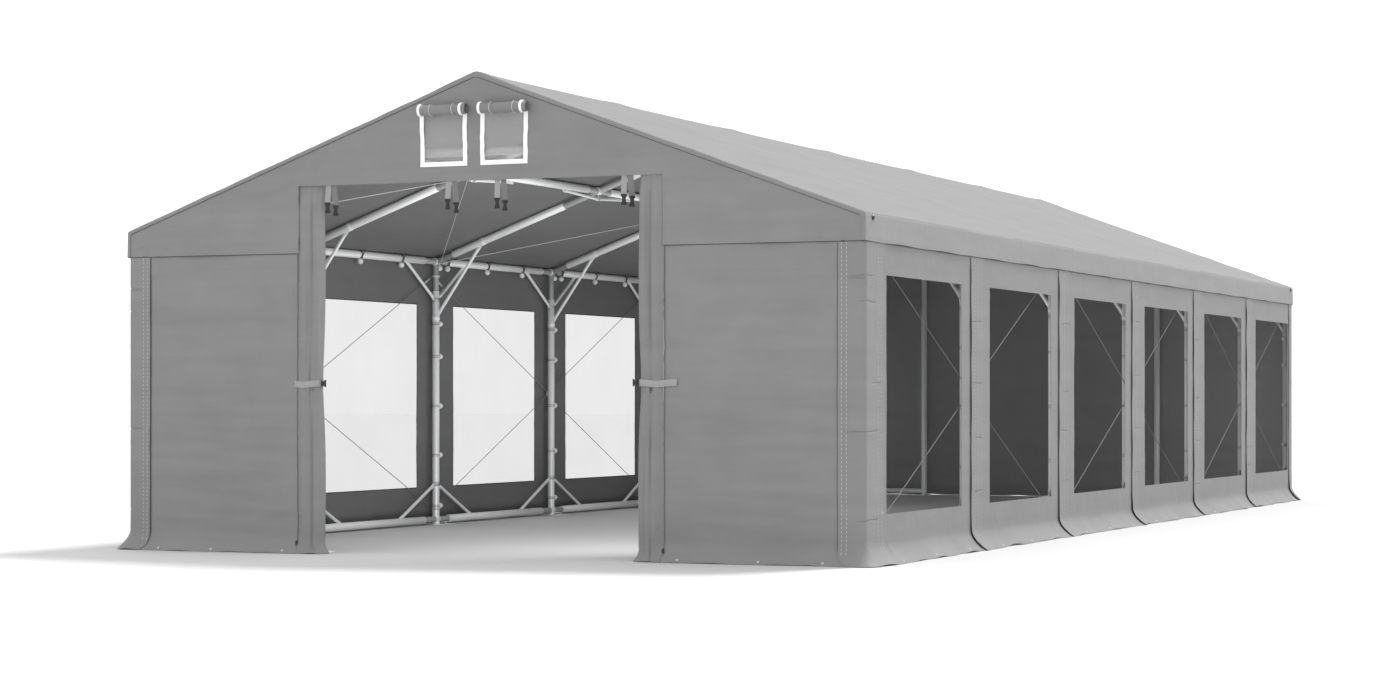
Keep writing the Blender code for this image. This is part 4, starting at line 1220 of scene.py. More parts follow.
@dataclass
class Gable:
    """Triangular end sheet with two vents, their binding, net and rolled-up covers."""

    end_name: str
    tent: Tent = TENT
    vent_centre: float = 0.205
    vent_shift: float = -0.012
    vent_width: float = 0.264
    vent_bottom: float = 2.398
    vent_height: float = 0.300
    border: float = 0.028
    roll_radius: float = 0.0350
    roll_length: float = 0.322
    roll_shift: float = 0.011
    roll_z: float = 2.710
    roll_ties: tuple[tuple[float, float, float, Look], ...] = (
        (-0.152, 0.016, 0.0028, Look.BORDER), (0.129, 0.016, 0.0028, Look.BORDER),
        (-0.079, 0.005, 0.0012, Look.THREAD), (0.075, 0.005, 0.0012, Look.THREAD))
    step: float = 0.036

    @property
    def end(self) -> int:
        """-1 at the front and 1 at the rear."""
        return ENDS[self.end_name]

    @property
    def out(self) -> Array:
        """Outward direction."""
        return vec(0, self.end, 0)

    def vent_x(self, side: int) -> float:
        """Middle of the vent on one side; the pair sits a little left of the ridge."""
        return side * self.vent_centre + self.vent_shift

    def relief(self, x: Array, z: Array) -> Array:
        """Outward relief: swells, level streaks, pull marks at corners and openings, calm under the hem."""
        under_roof = self.tent.roof_z(x, 0.0) - z
        calm = ease(under_roof, 0.045, 0.16) * ease(self.tent.half_width - np.abs(x), 0.0, 0.10)
        swell = Ripples(31, 0.0028, (0.5, 1.8), (0.25, 0.9)).at(x, z)
        streak = Ripples(32, 0.0015, (0.5, 1.6), (0.07, 0.20)).at(x, z)
        pulls = 0 * x
        for side in SIDES.values():
            pulls = pulls + fan(side * x, z, (self.tent.half_width, self.tent.eave - 0.02), 22, 0.60, 0.0060)
            pulls = pulls + fan(side * x, z, (self.tent.half_door, self.tent.lintel), 9, 0.38, 0.0044)
            pulls = pulls + fan(side * x, z, (0.37, self.vent_bottom), 8, 0.30, 0.0034)
        return calm * np.clip(swell + streak + pulls, -0.0028, 0.009) + 0.0004

    def face(self, x: Array, z: Array) -> Array:
        """Outer face: y = end (half length + relief)."""
        return np.stack([x, self.end * (self.tent.half_length + self.relief(x, z)), z], axis=-1)

    def proud(self, height: float) -> Surface:
        """Surface that lies a height in front of the outer face."""
        return lambda x, z: self.face(x, z) + self.out * height

    def levels(self, x: Array) -> list[Array]:
        """Heights that rows must follow: lower edge, lintel, vent bottom, vent top and roof line.

        Past the part of the gable that needs a level exactly, it keeps the share between its
        neighbours that it has there.
        """
        tent = self.tent
        top = tent.roof_z(x, tent.layer)
        lines = [0 * x + tent.valance_bottom]
        vent_reach = self.vent_centre + abs(self.vent_shift) + self.vent_width / 2 + self.border
        wanted = ((tent.lintel, tent.half_door), (self.vent_bottom, vent_reach),
                  (self.vent_bottom + self.vent_height, vent_reach))
        for height, reach in wanted:
            edge = tent.roof_z(reach, tent.layer)
            below = lines[-1]
            base = float(np.interp(reach, np.sort(x), below[np.argsort(x)]))
            share = (height - base) / (edge - base)
            lines.append(np.where(np.abs(x) <= reach + 1e-6, height, below + (top - below) * share))
        return [*lines, top]

    def sheet(self) -> Piece:
        """Gable sheet, left out over the doorway and in the vents."""
        tent = self.tent
        edge = tent.half_width - tent.layer
        half_vent = self.vent_width / 2
        vents = [self.vent_x(s) + t * half_vent for s in (-1, 1) for t in (-1, 1)]
        outer = self.vent_centre + abs(self.vent_shift) + half_vent + self.border
        x = ticks([-edge, edge, -tent.half_door, tent.half_door, -outer, outer, *vents], self.step)
        levels = self.levels(x)
        counts = (14, 5, 9, 7)
        rows, bands = [levels[0]], []
        for band, (low, high) in enumerate(zip(levels, levels[1:])):
            for share in np.linspace(0, 1, counts[band] + 1)[1:]:
                rows.append(low + (high - low) * share)
                bands.append(band)
        z = np.array(rows)
        across = np.broadcast_to(x, z.shape)
        middle = (x[:-1] + x[1:]) / 2
        band = np.array(bands)[:, None]
        door = (np.abs(middle) < tent.half_door) & (band == 0)
        near_vent = np.minimum(np.abs(middle - self.vent_x(-1)), np.abs(middle - self.vent_x(1)))
        hole = (near_vent < half_vent) & (band == 2)
        flat_map = np.stack([across, z], axis=-1)
        shape = Shape()
        shape.add(shell(self.face(across, z), self.out, ~(door | hole), flat_map), Look.WALL)
        self.sew(shape)
        piece = shape.build(f"{self.end_name}_gable_sheet")
        area = 2 * edge * (float(tent.roof_z(edge / 2, tent.layer)) - tent.valance_bottom)
        area -= 2 * tent.half_door * (tent.lintel - tent.valance_bottom)
        area -= 2 * self.vent_width * self.vent_height
        rise = float(tent.roof_z(0.0, tent.layer)) - tent.valance_bottom
        return settle(piece, [f"{self.end_name}_gable"])

    @property
    def frame_name(self) -> str:
        """Node of the portal frame that carries this gable."""
        return "portal_frame_1" if self.end < 0 else "portal_frame_7"

    def sew(self, shape: Shape) -> None:
        """Stitches and a dark tape of painted shadow along the lower edges, stitches round the doorway and a
        painted shadow line under the hem.
        """
        tent = self.tent
        low, inset = tent.valance_bottom + 0.012, 0.012
        for side in SIDES.values():
            near, far = side * (tent.half_door + inset), side * (tent.half_width - 0.03)
            shape.add(stitch_row(self.face, (near, low), (far, low), self.out), Look.SEAM)
            shape.add(stitch_row(self.face, (near, low), (near, tent.lintel), self.out), Look.SEAM)
            # Dark tape under the gable's lower edge: painted shadow line.
            span = np.linspace(side * (tent.half_door + 0.001), side * (tent.half_width - 0.010), 40)
            lower = self.face(span, 0 * span + tent.valance_bottom - 0.0008) - self.out * 0.0022
            shape.add(band(lower, 0.0060, 0.0012, Z_AXIS), Look.PAINTED_SHADOW_LINE)
            # Dark tape just under the roof's end hem: painted shadow line.
            slope = np.linspace(side * 0.004, side * (tent.half_width - 0.030), 60)
            upper = np.stack([slope, 0 * slope + self.end * (tent.half_length + 0.0012),
                              tent.roof_z(slope, 0.0278)], axis=-1)
            shape.add(band(upper, 0.0030, 0.0012, Z_AXIS), Look.PAINTED_SHADOW_LINE)
        reach = tent.half_door + inset
        over = tent.lintel + inset
        shape.add(stitch_row(self.face, (-reach, over), (reach, over), self.out), Look.SEAM)

    def net(self) -> Piece:
        """Insect net behind both vents, one panel."""
        tent = self.tent
        reach = self.vent_centre + abs(self.vent_shift) + self.vent_width / 2 + self.border
        x = ticks([-reach, reach], 0.03)
        z = ticks([self.vent_bottom - self.border, self.vent_bottom + self.vent_height + self.border], 0.03)
        calm = Ripples(41, 0.0006, (0.1, 0.4), (0.1, 0.4))

        def face(a: Array, b: Array) -> Array:
            """Outer face of the net, one layer behind the gable."""
            y = self.end * (tent.half_length - tent.layer - 0.0008 + calm.at(a, b))
            return np.stack([a, y, b], axis=-1)

        shape = Shape()
        shape.add(sheet_part(face, x, z, self.out), Look.NET)
        piece = shape.build(f"{self.end_name}_vent_net")
        return settle(piece, [f"{self.end_name}_vent_mesh"])

    def bindings(self) -> Piece:
        """White binding round each vent, sewn along both its edges."""
        shape = Shape()
        for side in SIDES.values():
            centre = self.vent_x(side)
            inner = self.vent_width / 2
            outer = inner + self.border
            low, high = self.vent_bottom, self.vent_bottom + self.vent_height
            x = ticks([centre - outer, centre - inner, centre + inner, centre + outer], self.border / 2)
            z = ticks([low - self.border, low, high, high + self.border], self.border / 2)
            mid_x, mid_z = (x[:-1] + x[1:]) / 2, (z[:-1] + z[1:]) / 2
            hole = (np.abs(mid_x - centre) < inner)[None] & ((mid_z > low) & (mid_z < high))[:, None]
            face = self.proud(0.0019)
            shape.add(sheet_part(face, x, z, self.out, keep=~hole), Look.BORDER)
            for way in (-1, 1):
                for inset in (0.005, self.border - 0.005):
                    at = centre + way * (inner + inset)
                    row = stitch_row(face, (at, low - inset), (at, high), self.out, Seam.BINDING)
                    shape.add(row, Look.BORDER)
            foot = stitch_row(face, (centre - inner, low - 0.005), (centre + inner, low - 0.005),
                              self.out, Seam.BINDING)
            shape.add(foot, Look.BORDER)
        piece = shape.build(f"{self.end_name}_vent_binding")
        return settle(piece)

    def roll(self, side_name: str) -> Piece:
        """Rolled-up vent cover: a spiral of cloth held by a white band at each end and two loops.

        The roll's section is a spiral whose radius falls evenly with its turn.
        """
        centre = self.vent_x(SIDES[side_name]) + self.roll_shift
        y = self.end * (self.tent.half_length + 0.0003 + self.roll_radius)
        turns, inner = 3.0, 0.021
        a = ticks([-self.roll_length / 2, self.roll_length / 2], 0.020)
        t = np.linspace(0, 1, round(turns * 22) + 1)
        along, share = np.meshgrid(a, t)
        sway = Ripples(51 + SIDES[side_name], 0.0009, (0.05, 0.2), (0.3, 1.1)).at(along, share)
        outer = self.roll_radius - 0.0022
        radius = outer - (outer - inner) * share + sway * (1 - share)
        angle = -2 * math.pi * turns * share - 0.5 * math.pi
        points = np.stack([centre + along, y - self.end * radius * np.cos(angle),
                           self.roll_z + radius * np.sin(angle)], axis=-1)
        outward = points - np.stack([centre + along, y + 0 * along, self.roll_z + 0 * along], axis=-1)
        reach = np.cumsum(np.concatenate([[0], np.linalg.norm(np.diff(points[:, 0], axis=0), axis=1)]))
        flat_map = np.stack([along, np.broadcast_to(reach[:, None], along.shape)], axis=-1)
        shape = Shape()
        shape.add(shell(points, outward, flat_map=flat_map), Look.WALL)
        start, outer = vec(centre, y, self.roll_z), self.roll_radius
        for place, width, rise, look in self.roll_ties:
            half, bulge = width / 2, outer + rise
            profile = [(-half, outer - 0.003), (-half, bulge - 0.0008), (-half + 0.001, bulge)]
            profile += [(-along, radius) for along, radius in reversed(profile)]
            shape.add(turned(start + X_AXIS * place, X_AXIS, profile, 32), look)
        piece = shape.build(f"{self.end_name}_rolled_cover_{side_name}")
        return settle(piece, [f"{self.end_name}_vent_roll_{side_name}"])

    def build(self) -> list[Piece]:
        """All pieces of this gable."""
        return [self.sheet(), self.net(), self.bindings(), *(self.roll(name) for name in SIDES)]


# Walls, flaps and doors

@dataclass
class EndWall:
    """Sheet between a corner and the entrance."""

    end_name: str
    side_name: str
    tent: Tent = TENT
    zip_gap: float = 0.005
    corner_gap: float = 0.034

    def build(self) -> Piece:
        """The sheet, with a sewn hem beside the zip."""
        wall, tent = WALLS[self.end_name], self.tent
        side = SIDES[self.side_name]
        near, far = tent.half_door + self.zip_gap, tent.half_width - self.corner_gap
        a = side * ticks([near, near + 0.030, near + 0.042, near + 0.050, near + 0.058, near + 0.070,
                          near + 0.090, far], 0.042)
        z = ticks([*SKIRT_ROWS, tent.valance_bottom, tent.wall_top], 0.026)

        def fold(a: Array, z: Array) -> Array:
            """Soft fold that runs beside the zip, fading in and out on its way up."""
            fade = 0.6 + 0.4 * np.sin(2.3 * z + side)
            return 0.0035 * bell(np.abs(a), near + 0.050, 0.014) * fade * (1 - ease(z, 1.6, 1.8))

        face = wall.surface(2 * tent.layer, fold)
        shape = Shape()
        shape.add(sheet_part(face, a, z, wall.out), Look.WALL)
        hem = side * (near + 0.020)
        shape.add(stitch_row(face, (hem, 0.02), (hem, tent.valance_bottom), wall.out), Look.SEAM)
        shape.add(stitch_row(face, (side * near, 0.13), (side * far, 0.13), wall.out), Look.SEAM)
        eyelets = side * np.array([near + 0.10, (near + far) / 2, far - 0.22])
        shape.add(eyelet_row(face, eyelets, 0.016, wall.out), Look.BOLT)
        piece = shape.build(f"{self.end_name}_end_sheet_{self.side_name}")
        return settle(piece, [f"{self.end_name}_wall_{self.side_name}"])


@dataclass
class CornerFlap:
    """Flap that wraps one corner: flat on the end wall, round the corner post and flat on the side wall."""

    end_name: str
    side_name: str
    tent: Tent = TENT
    radius: float = 0.032
    round_corner: float = 0.085
    grooves: Grooves = Grooves(((1.664, 0.055, 0.300, 0.006), (1.650, 0.055, 0.170, -0.003),
                                (1.516, 0.120, 0.330, -0.008), (1.050, 0.260, 0.430, 0.004),
                                (0.771, 0.020, 0.380, 0.005), (0.264, 0.130, 0.400, 0.008)))

    @property
    def widths(self) -> tuple[float, float]:
        """Reach from the corner along the end and along the side."""
        return (0.170, 0.350) if self.end_name == "front" else (0.350, 0.170)

    @property
    def spans(self) -> tuple[float, float, float]:
        """Lengths on the end, round the bend and on the side."""
        end_width, side_width = self.widths
        taken = self.tent.layer + self.radius
        return end_width - taken, self.radius * math.pi / 2, side_width - taken

    def plan(self, t: Array) -> tuple[Array, Array, Array, Array, Array]:
        """Plan at distance t from the end wall's free edge: place, direction and share of the turn."""
        first, bend, _ = self.spans
        tent = self.tent
        turn = np.clip((t - first) / bend, 0, 1)
        angle = turn * math.pi / 2
        centre_x = tent.half_width - tent.layer - self.radius
        centre_y = tent.half_length - tent.layer - self.radius
        x = centre_x + self.radius * np.sin(angle) - np.clip(first - t, 0, None)
        y = centre_y + self.radius * np.cos(angle) - np.clip(t - first - bend, 0, None)
        return x, y, np.sin(angle), np.cos(angle), turn

    def face(self, t: Array, z: Array) -> Array:
        """Outer face: the plan moved out by both walls' relief, mixed by the turn, and its own creases."""
        t, z = np.broadcast_arrays(np.asarray(t, float), np.asarray(z, float))
        side, end = SIDES[self.side_name], ENDS[self.end_name]
        end_wall, side_wall = WALLS[self.end_name], WALLS[self.side_name]
        x, y, out_x, out_y, turn = self.plan(t)
        throw = (1 - turn) * (end_wall.relief(side * x, z) + end_wall.skirt(side * x, z))
        throw = throw + turn * (side_wall.relief(end * y, z) + side_wall.skirt(end * y, z))
        rise = (1 - turn) * end_wall.lift(side * x, z) + turn * side_wall.lift(end * y, z)
        total = sum(self.spans)
        free = 1 - ease(z, 1.70, 1.86)
        curl = 0.0060 * np.exp(-((t / 0.014) ** 2)) + 0.0030 * np.exp(-(((total - t) / 0.020) ** 2))
        wave = 0.75 + 0.25 * np.sin(2 * math.pi * z / 0.43 + 1.3 * side + end)
        seed = 60 + 3 * side + end
        creases = Creases(seed, 26, 0.0010, 0.010, 0.09, (0.0, total, 0.15, 1.75), 0.25).at(t, z)
        creases = creases + self.grooves.at(t, z)
        flare = 0.020 * np.clip(1 - z / 0.35, 0, 1) ** 2 * np.exp(-(((total - t) / 0.12) ** 2))
        throw = throw + free * (curl * wave + creases) + flare
        return np.stack([side * (x + out_x * throw), end * (y + out_y * throw), z + rise], axis=-1)

    def build(self) -> Piece:
        """The flap with rounded lower corners and double rows of stitches near both free edges."""
        tent = self.tent
        first, bend, _ = self.spans
        total = sum(self.spans)
        t = ticks([0, 0.010, 0.020, 0.032, self.round_corner, first, first + bend / 4, first + bend / 2,
                   first + 3 * bend / 4, first + bend, total - self.round_corner, total - 0.040,
                   total - 0.024, total - 0.012, total], 0.020)
        z = ticks([*SKIRT_ROWS, *self.grooves.rows(), tent.valance_bottom, tent.flap_top], 0.016)
        near = np.clip(self.round_corner - np.minimum(t, total - t), 0, None)
        bottom = self.round_corner - np.sqrt(self.round_corner**2 - near**2)
        _, _, out_x, out_y, _ = self.plan(t)
        side, end = SIDES[self.side_name], ENDS[self.end_name]
        outward = np.broadcast_to(np.stack([side * out_x, end * out_y, 0 * t], axis=-1), (len(z), len(t), 3))
        shape = Shape()
        shape.add(sheet_part(self.face, t, z, outward, bottom=bottom), Look.TRIM)
        end_out, side_out = vec(0, end, 0), vec(side, 0, 0)
        rows = [(0.022, end_out), (0.052, end_out), (total - 0.125, side_out), (total - 0.075, side_out)]
        for place, out in rows:
            row = stitch_row(self.face, (place, 0.06), (place, tent.flap_top - 0.05), out, Seam.FLAP)
            shape.add(row, Look.THREAD)
        # Dark tape just beyond the free edge, on the wall: painted contact shadow of the lifted edge.
        edge_z = ticks([self.round_corner, tent.valance_bottom], 0.02)
        tape = sheet_part(self.face, np.array([-0.0045, -0.0015]), edge_z, end_out)
        shape.add(Part(tape.points - end_out * 0.0025, tape.faces, tape.flat_map), Look.PAINTED_SHADOW_LINE)
        shape.add(eyelet_row(self.face, np.array([total - 0.05]), 0.30, side_out), Look.BOLT)
        piece = shape.build(f"{self.end_name}_corner_wrap_{self.side_name}")
        return settle(piece, [f"{self.end_name}_corner_flap_{self.side_name}"])


@dataclass
class SideWall:
    """Six wall panels on one side, each with its window and, past the first, a strip over the joint."""

    side_name: str
    tent: Tent = TENT
    strip_start: float = -0.030
    strip_end: float = 0.250
    corner_gap: float = 0.034

    @property
    def wall(self) -> Wall:
        """The surface that all sheets on this side share."""
        return WALLS[self.side_name]

    def panel(self, bay: int) -> Piece:
        """One bay of wall with its window cut out."""
        tent, wall = self.tent, self.wall
        start = bay * tent.bay - tent.half_length
        first, last = bay == 0, bay == tent.bays - 1
        low = start + (self.corner_gap if first else 0.00015)
        high = start + tent.bay - (self.corner_gap if last else 0.00015)
        left, right = start + WINDOW_START, start + WINDOW_END
        a = ticks([low, left, right, high], 0.050)
        z = ticks([*SKIRT_ROWS, WINDOW_BOTTOM, WINDOW_TOP, tent.valance_bottom, tent.wall_top], 0.034)
        mid_a, mid_z = (a[:-1] + a[1:]) / 2, (z[:-1] + z[1:]) / 2
        across, upright = (mid_a > left) & (mid_a < right), (mid_z > WINDOW_BOTTOM) & (mid_z < WINDOW_TOP)
        hole = across[None] & upright[:, None]
        face = wall.surface(2 * tent.layer)
        shape = Shape()
        cloth = sheet_part(face, a, z, wall.out, keep=~hole)
        # Faces that look inwards take the darker copy of the wall cloth: painted shade inside the tent.
        shape.add(cloth, Look.WALL, Look.WALL_INNER_SHADE, choice=inner_faces(cloth, wall.out))
        places = np.array([left + 0.08, (left + right) / 2, right - 0.06])
        shape.add(eyelet_row(face, places, 0.014, wall.out), Look.BOLT)
        shape.add(stitch_row(face, (low + 0.02, 0.13), (high - 0.02, 0.13), wall.out, Seam.PANEL), Look.SEAM)
        if not first:
            self.strip(shape, start)
        piece = shape.build(f"{self.side_name}_window_wall_{bay + 1}")
        area = (high - low) * tent.wall_top - (right - left) * (WINDOW_TOP - WINDOW_BOTTOM)
        width = high - low
        if not first:
            width += self.strip_end - self.strip_start
            area += (self.strip_end - self.strip_start) * tent.wall_top
        return settle(piece, [f"{self.side_name}_wall_{bay + 1}"])

    def strip(self, shape: Shape, joint: float) -> None:
        """Strip over the joint between two panels, its front edge free, rounded and lifted."""
        tent, wall = self.tent, self.wall
        front, back = joint + self.strip_start, joint + self.strip_end
        seed = 700 + int(10 * joint) + SIDES[self.side_name]
        pleats = Creases(seed, 16, 0.0008, 0.009, 0.07, (front, back, 0.15, 1.75), 0.35)
        rng = np.random.default_rng(seed)
        heights = [rng.uniform(*reach) for reach in ((1.42, 1.56), (0.95, 1.15), (0.5, 0.8), (0.22, 0.40))]
        folds = Grooves(tuple((float(z), front + float(rng.uniform(0.0, 0.10)),
                               back - float(rng.uniform(0.0, 0.05)), float(rng.uniform(-0.006, 0.006)))
                              for z in heights))

        def extra(a: Array, z: Array) -> Array:
            """Lifted front edge, creases and a little flare of the free corner."""
            free = 1 - ease(z, 1.72, 1.86)
            curl = 0.0065 * np.exp(-(((a - front) / 0.016) ** 2)) * (0.75 + 0.25 * np.sin(z * 13 + joint))
            flare = 0.012 * np.clip(1 - z / 0.3, 0, 1) ** 2 * np.exp(-(((a - front) / 0.08) ** 2))
            return free * (curl + pleats.at(a, z) + folds.at(a, z)) + flare

        face = wall.surface(tent.layer, extra)
        a = ticks([front, front + 0.010, front + 0.02, front + 0.034, front + 0.06, back], 0.020)
        z = ticks([*SKIRT_ROWS, *folds.rows(), tent.valance_bottom, tent.wall_top - 0.004], 0.024)
        near = np.clip(0.06 - (a - front), 0, None)
        bottom = 0.06 - np.sqrt(0.06**2 - near**2)
        shape.add(sheet_part(face, a, z, wall.out, bottom=bottom), Look.TRIM)
        for place in (front + 0.084, front + 0.134):
            row = stitch_row(face, (place, 0.08), (place, tent.valance_bottom), wall.out, Seam.STRIP)
            shape.add(row, Look.THREAD)
        place = back - 0.012
        row = stitch_row(face, (place, 0.05), (place, tent.valance_bottom), wall.out, Seam.PANEL)
        shape.add(row, Look.SEAM)

    def windows(self) -> Piece:
        """Clear film welded behind the six windows."""
        tent, wall = self.tent, self.wall
        shape = Shape()
        margin = 0.008
        for bay in range(tent.bays):
            start = bay * tent.bay - tent.half_length
            a = ticks([start + WINDOW_START - margin, start + WINDOW_END + margin], 0.085)
            z = ticks([WINDOW_BOTTOM - margin, WINDOW_TOP + margin], 0.085)
            shape.add(sheet_part(wall.surface(2 * tent.layer + 0.0026), a, z, wall.out), Look.FILM)
        piece = shape.build(f"{self.side_name}_clear_windows")
        return settle(piece, [f"window_film_{self.side_name}"])

    def build(self) -> list[Piece]:
        """All panels and the windows of this side."""
        return [*(self.panel(bay) for bay in range(self.tent.bays)), self.windows()]


@dataclass
class RearDoor:
    """One closed leaf of the rear entrance, tucked up behind the lintel."""

    side_name: str
    tent: Tent = TENT
    overlap: float = 0.022

    def build(self) -> Piece:
        """The leaf, with hems beside its two zips."""
        tent, wall = self.tent, WALLS["rear"]
        side = SIDES[self.side_name]
        near, far = 0.0002, tent.half_door - 0.0005
        a = side * ticks([near, far], 0.042)
        z = ticks([*SKIRT_ROWS, tent.lintel, tent.lintel + self.overlap], 0.034)
        belly = Ripples(81 + side, 0.0022, (0.5, 1.6), (0.5, 2.0))

        def extra(a: Array, z: Array) -> Array:
            """Slack of the leaf, held along the zips and at the lintel."""
            held = ease(np.abs(a), 0.0, 0.25) * ease(tent.half_door - np.abs(a), 0.0, 0.2)
            return held * (1 - ease(z, 1.9, 2.22)) * (belly.at(a, z) + 0.003)

        face = wall.surface(tent.layer, extra)
        shape = Shape()
        shape.add(sheet_part(face, a, z, wall.out), Look.WALL)
        for place in (side * (near + 0.022), side * (far - 0.022)):
            shape.add(stitch_row(face, (place, 0.02), (place, tent.lintel), wall.out), Look.SEAM)
        shape.add(eyelet_row(face, side * np.array([0.2, 0.62, 1.05]), 0.030, wall.out), Look.BOLT)
        piece = shape.build(f"rear_door_leaf_{self.side_name}")
        return settle(piece, [f"rear_door_{self.side_name}"])


# Tied-back curtains, webbing and zips

@dataclass
class Curtain:
    """Entrance curtain rolled up against the side of the doorway and tied at the waist.

    The plan starts at the zip, runs straight to the front of the bundle and goes on as a spiral: an
    oval with folds, scaled down evenly as it turns, so its layers never meet.
    """

    side_name: str
    tent: Tent = TENT
    turns: float = 3.45
    width: float = 0.170
    front: float = 0.020
    back_y: float = -5.9157
    waist: float = 1.055
    core: float = 0.36
    overlap: float = 0.022
    start_deg: float = -40.0
    zip_gap: float = 0.0030
    per_turn: int = 42

    @property
    def side(self) -> int:
        """-1 on the left and 1 on the right."""
        return SIDES[self.side_name]

    def oval(self, angle: Array, z: Array, folds: Array | float = 1.0) -> Array:
        """Outer turn of the plan at a height, as points.

        A superellipse of power 2.5 whose half axes shrink at the waist, with folds that are waves
        round it, deeper away from the waist, and fine gathers beside the tie.
        """
        tent = self.tent
        waist = bell(z, self.waist, 0.24)
        top = ease(z, tent.lintel - 0.14, tent.lintel - 0.020)
        outer = tent.half_door - 0.001
        inner = outer + 0.001 - self.width + 0.014 * waist
        inner = inner - 0.005 * bell(z, 0.45, 0.35) - 0.004 * bell(z, 1.7, 0.3)
        front = -(tent.half_length + self.front) + (self.front + 0.0058) * top + 0.006 * waist
        back = self.back_y - 0.008 * waist
        half_x, half_y = (outer - inner) / 2, (back - front) / 2
        depth = (0.0088 * (1 - 0.6 * waist) * (1 - 0.55 * top)) * folds
        half_x, half_y = half_x - 0.7 * depth, half_y - 0.7 * depth
        cos, sin = np.cos(angle), np.sin(angle)
        power = 2.5
        radius = (np.abs(cos / half_x) ** power + np.abs(sin / half_y) ** power) ** (-1 / power)
        drift = 0.5 * np.sin(2.1 * z + self.side) + 0.25 * np.sin(5.3 * z)
        wave = np.sin(7 * angle + drift + self.side) + 0.5 * np.sin(11 * angle - 1.4 * drift)
        gather = 0.0026 * np.sin(23 * angle + 2 * drift) * bell(z, self.waist, 0.14) * folds
        dents = np.clip(np.sin(5 * angle + 1.1 + self.side), 0, 1) ** 2 * bell(z, self.waist - 0.043, 0.019)
        radius = radius + depth * 0.66 * wave + gather - 0.019 * dents * folds
        x = self.side * ((outer + inner) / 2 + radius * cos)
        y = (front + back) / 2 + radius * sin
        return np.stack(np.broadcast_arrays(x, y, z), axis=-1)

    def build(self) -> Piece:
        """The rolled curtain, its foot thrown inwards where it lies on the ground."""
        tent = self.tent
        columns = round(self.turns * self.per_turn) + 1
        done = np.linspace(0, 2 * math.pi * self.turns, columns)
        top = tent.lintel + self.overlap
        z = ticks([0.0, 0.012, 0.025, 0.040, 0.060, *np.arange(self.waist - 0.08, self.waist + 0.02, 0.009),
                   tent.lintel - 0.14, tent.lintel, top], 0.034)
        progress, height = np.meshgrid(done, z)
        angle = math.radians(self.start_deg) - progress
        folds = ease(progress, 0.0, 0.7)
        outer = self.oval(angle, height, folds)
        middle = self.oval(angle, height, 0.0)
        one_turn = middle[:, :self.per_turn]
        centre = (one_turn.max(axis=1) + one_turn.min(axis=1)) / 2
        share = progress / done[-1]
        scale = (1 - (1 - self.core) * share)[..., None]
        points = outer.copy()
        points[..., :2] = centre[:, None, :2] + (outer - centre[:, None])[..., :2] * scale
        hem = np.clip(1 - height / 0.070, 0, 1) ** 2
        first_turn = np.clip(1 - progress / (2 * math.pi), 0, 1)
        points[..., 0] -= self.side * 0.060 * hem * first_turn * np.clip(-np.cos(angle), 0, 1)
        points[..., 1] -= 0.020 * hem * first_turn * np.clip(-np.sin(angle), 0, 1)
        points[..., 2] += 0.0018 + hem * 0.004 * (1 + np.sin(3 * angle)) * 0.5
        outward = outer - centre[:, None]
        outward[..., 2] = 0
        at_zip = self.side * (tent.half_door + self.zip_gap) + 0 * z
        seam = WALLS["front"].surface(2 * tent.layer)(at_zip, z)
        seam[:, 2] = points[:, 0, 2]
        lead = np.linspace(0, 1, 4)[None, :3, None]
        points = np.concatenate([seam[:, None] * (1 - lead) + points[:, :1] * lead, points], axis=1)
        outward = np.concatenate([np.broadcast_to(-Y_AXIS, (len(z), 3, 3)), outward], axis=1)
        height = np.concatenate([height[:, :3], height], axis=1)
        reach = path_length(points[len(z) // 2])
        flat_map = np.stack([np.broadcast_to(reach, height.shape), height], axis=-1)
        shape = Shape()
        shape.add(shell(points, outward, flat_map=flat_map), Look.WALL)
        piece = shape.build(f"front_curtain_cloth_{self.side_name}", 60)
        return settle(piece, [f"front_curtain_{self.side_name}"])


def buckle_parts(centre: Array, normal: Array, up: Array, width: float = 0.040,
                 long: float = 1.0) -> list[Part]:
    """Side-release buckle: a waisted body between a bar at each end, with a raised clip on its face.

    Args:
        centre: Middle of the buckle.
        normal: Direction through it.
        up: Direction along the strap.
        width: Width of the strap that it takes.
        long: Length as a share of the longest kind.

    Returns:
        Its moulded parts.
    """
    side = np.cross(unit(up), unit(normal))
    half = width / 2
    right = [(half, 0.028), (half, 0.020), (half * 0.72, 0.013), (half * 0.60, 0.0), (half * 0.72, -0.012),
             (half * 0.96, -0.019), (half * 0.96, -0.028)]
    outline = np.array(right + [(-x, y) for x, y in reversed(right)]) * (1.0, long)
    clip = rounded_rectangle(half * 0.42, 0.0120 * long, 0.003)
    rim = rounded_rectangle(half + 0.002, 0.0050 * long, 0.002)
    parts = [plate(centre, outline, normal, up, 0.0090, 0.0015),
             plate(centre - up * 0.004 * long, clip, normal, up, 0.0125),
             plate(centre + up * 0.024 * long, rim, normal, up, 0.0120)]
    profile = [(0, 0.0020), (0.001, 0.0026), (width + 0.001, 0.0026), (width + 0.002, 0.0020)]
    for way in (-1, 1):
        parts.append(turned(centre + up * way * 0.0300 * long - side * (half + 0.001), side, profile, 10))
    return parts


def band(path: Array, width: float, thickness: float, toward: Array) -> Part:
    """Flat strap along a path, its width in the given direction."""
    section = rounded_rectangle(thickness / 2, width / 2, thickness * 0.3, 2)
    return sweep(path, section, toward)


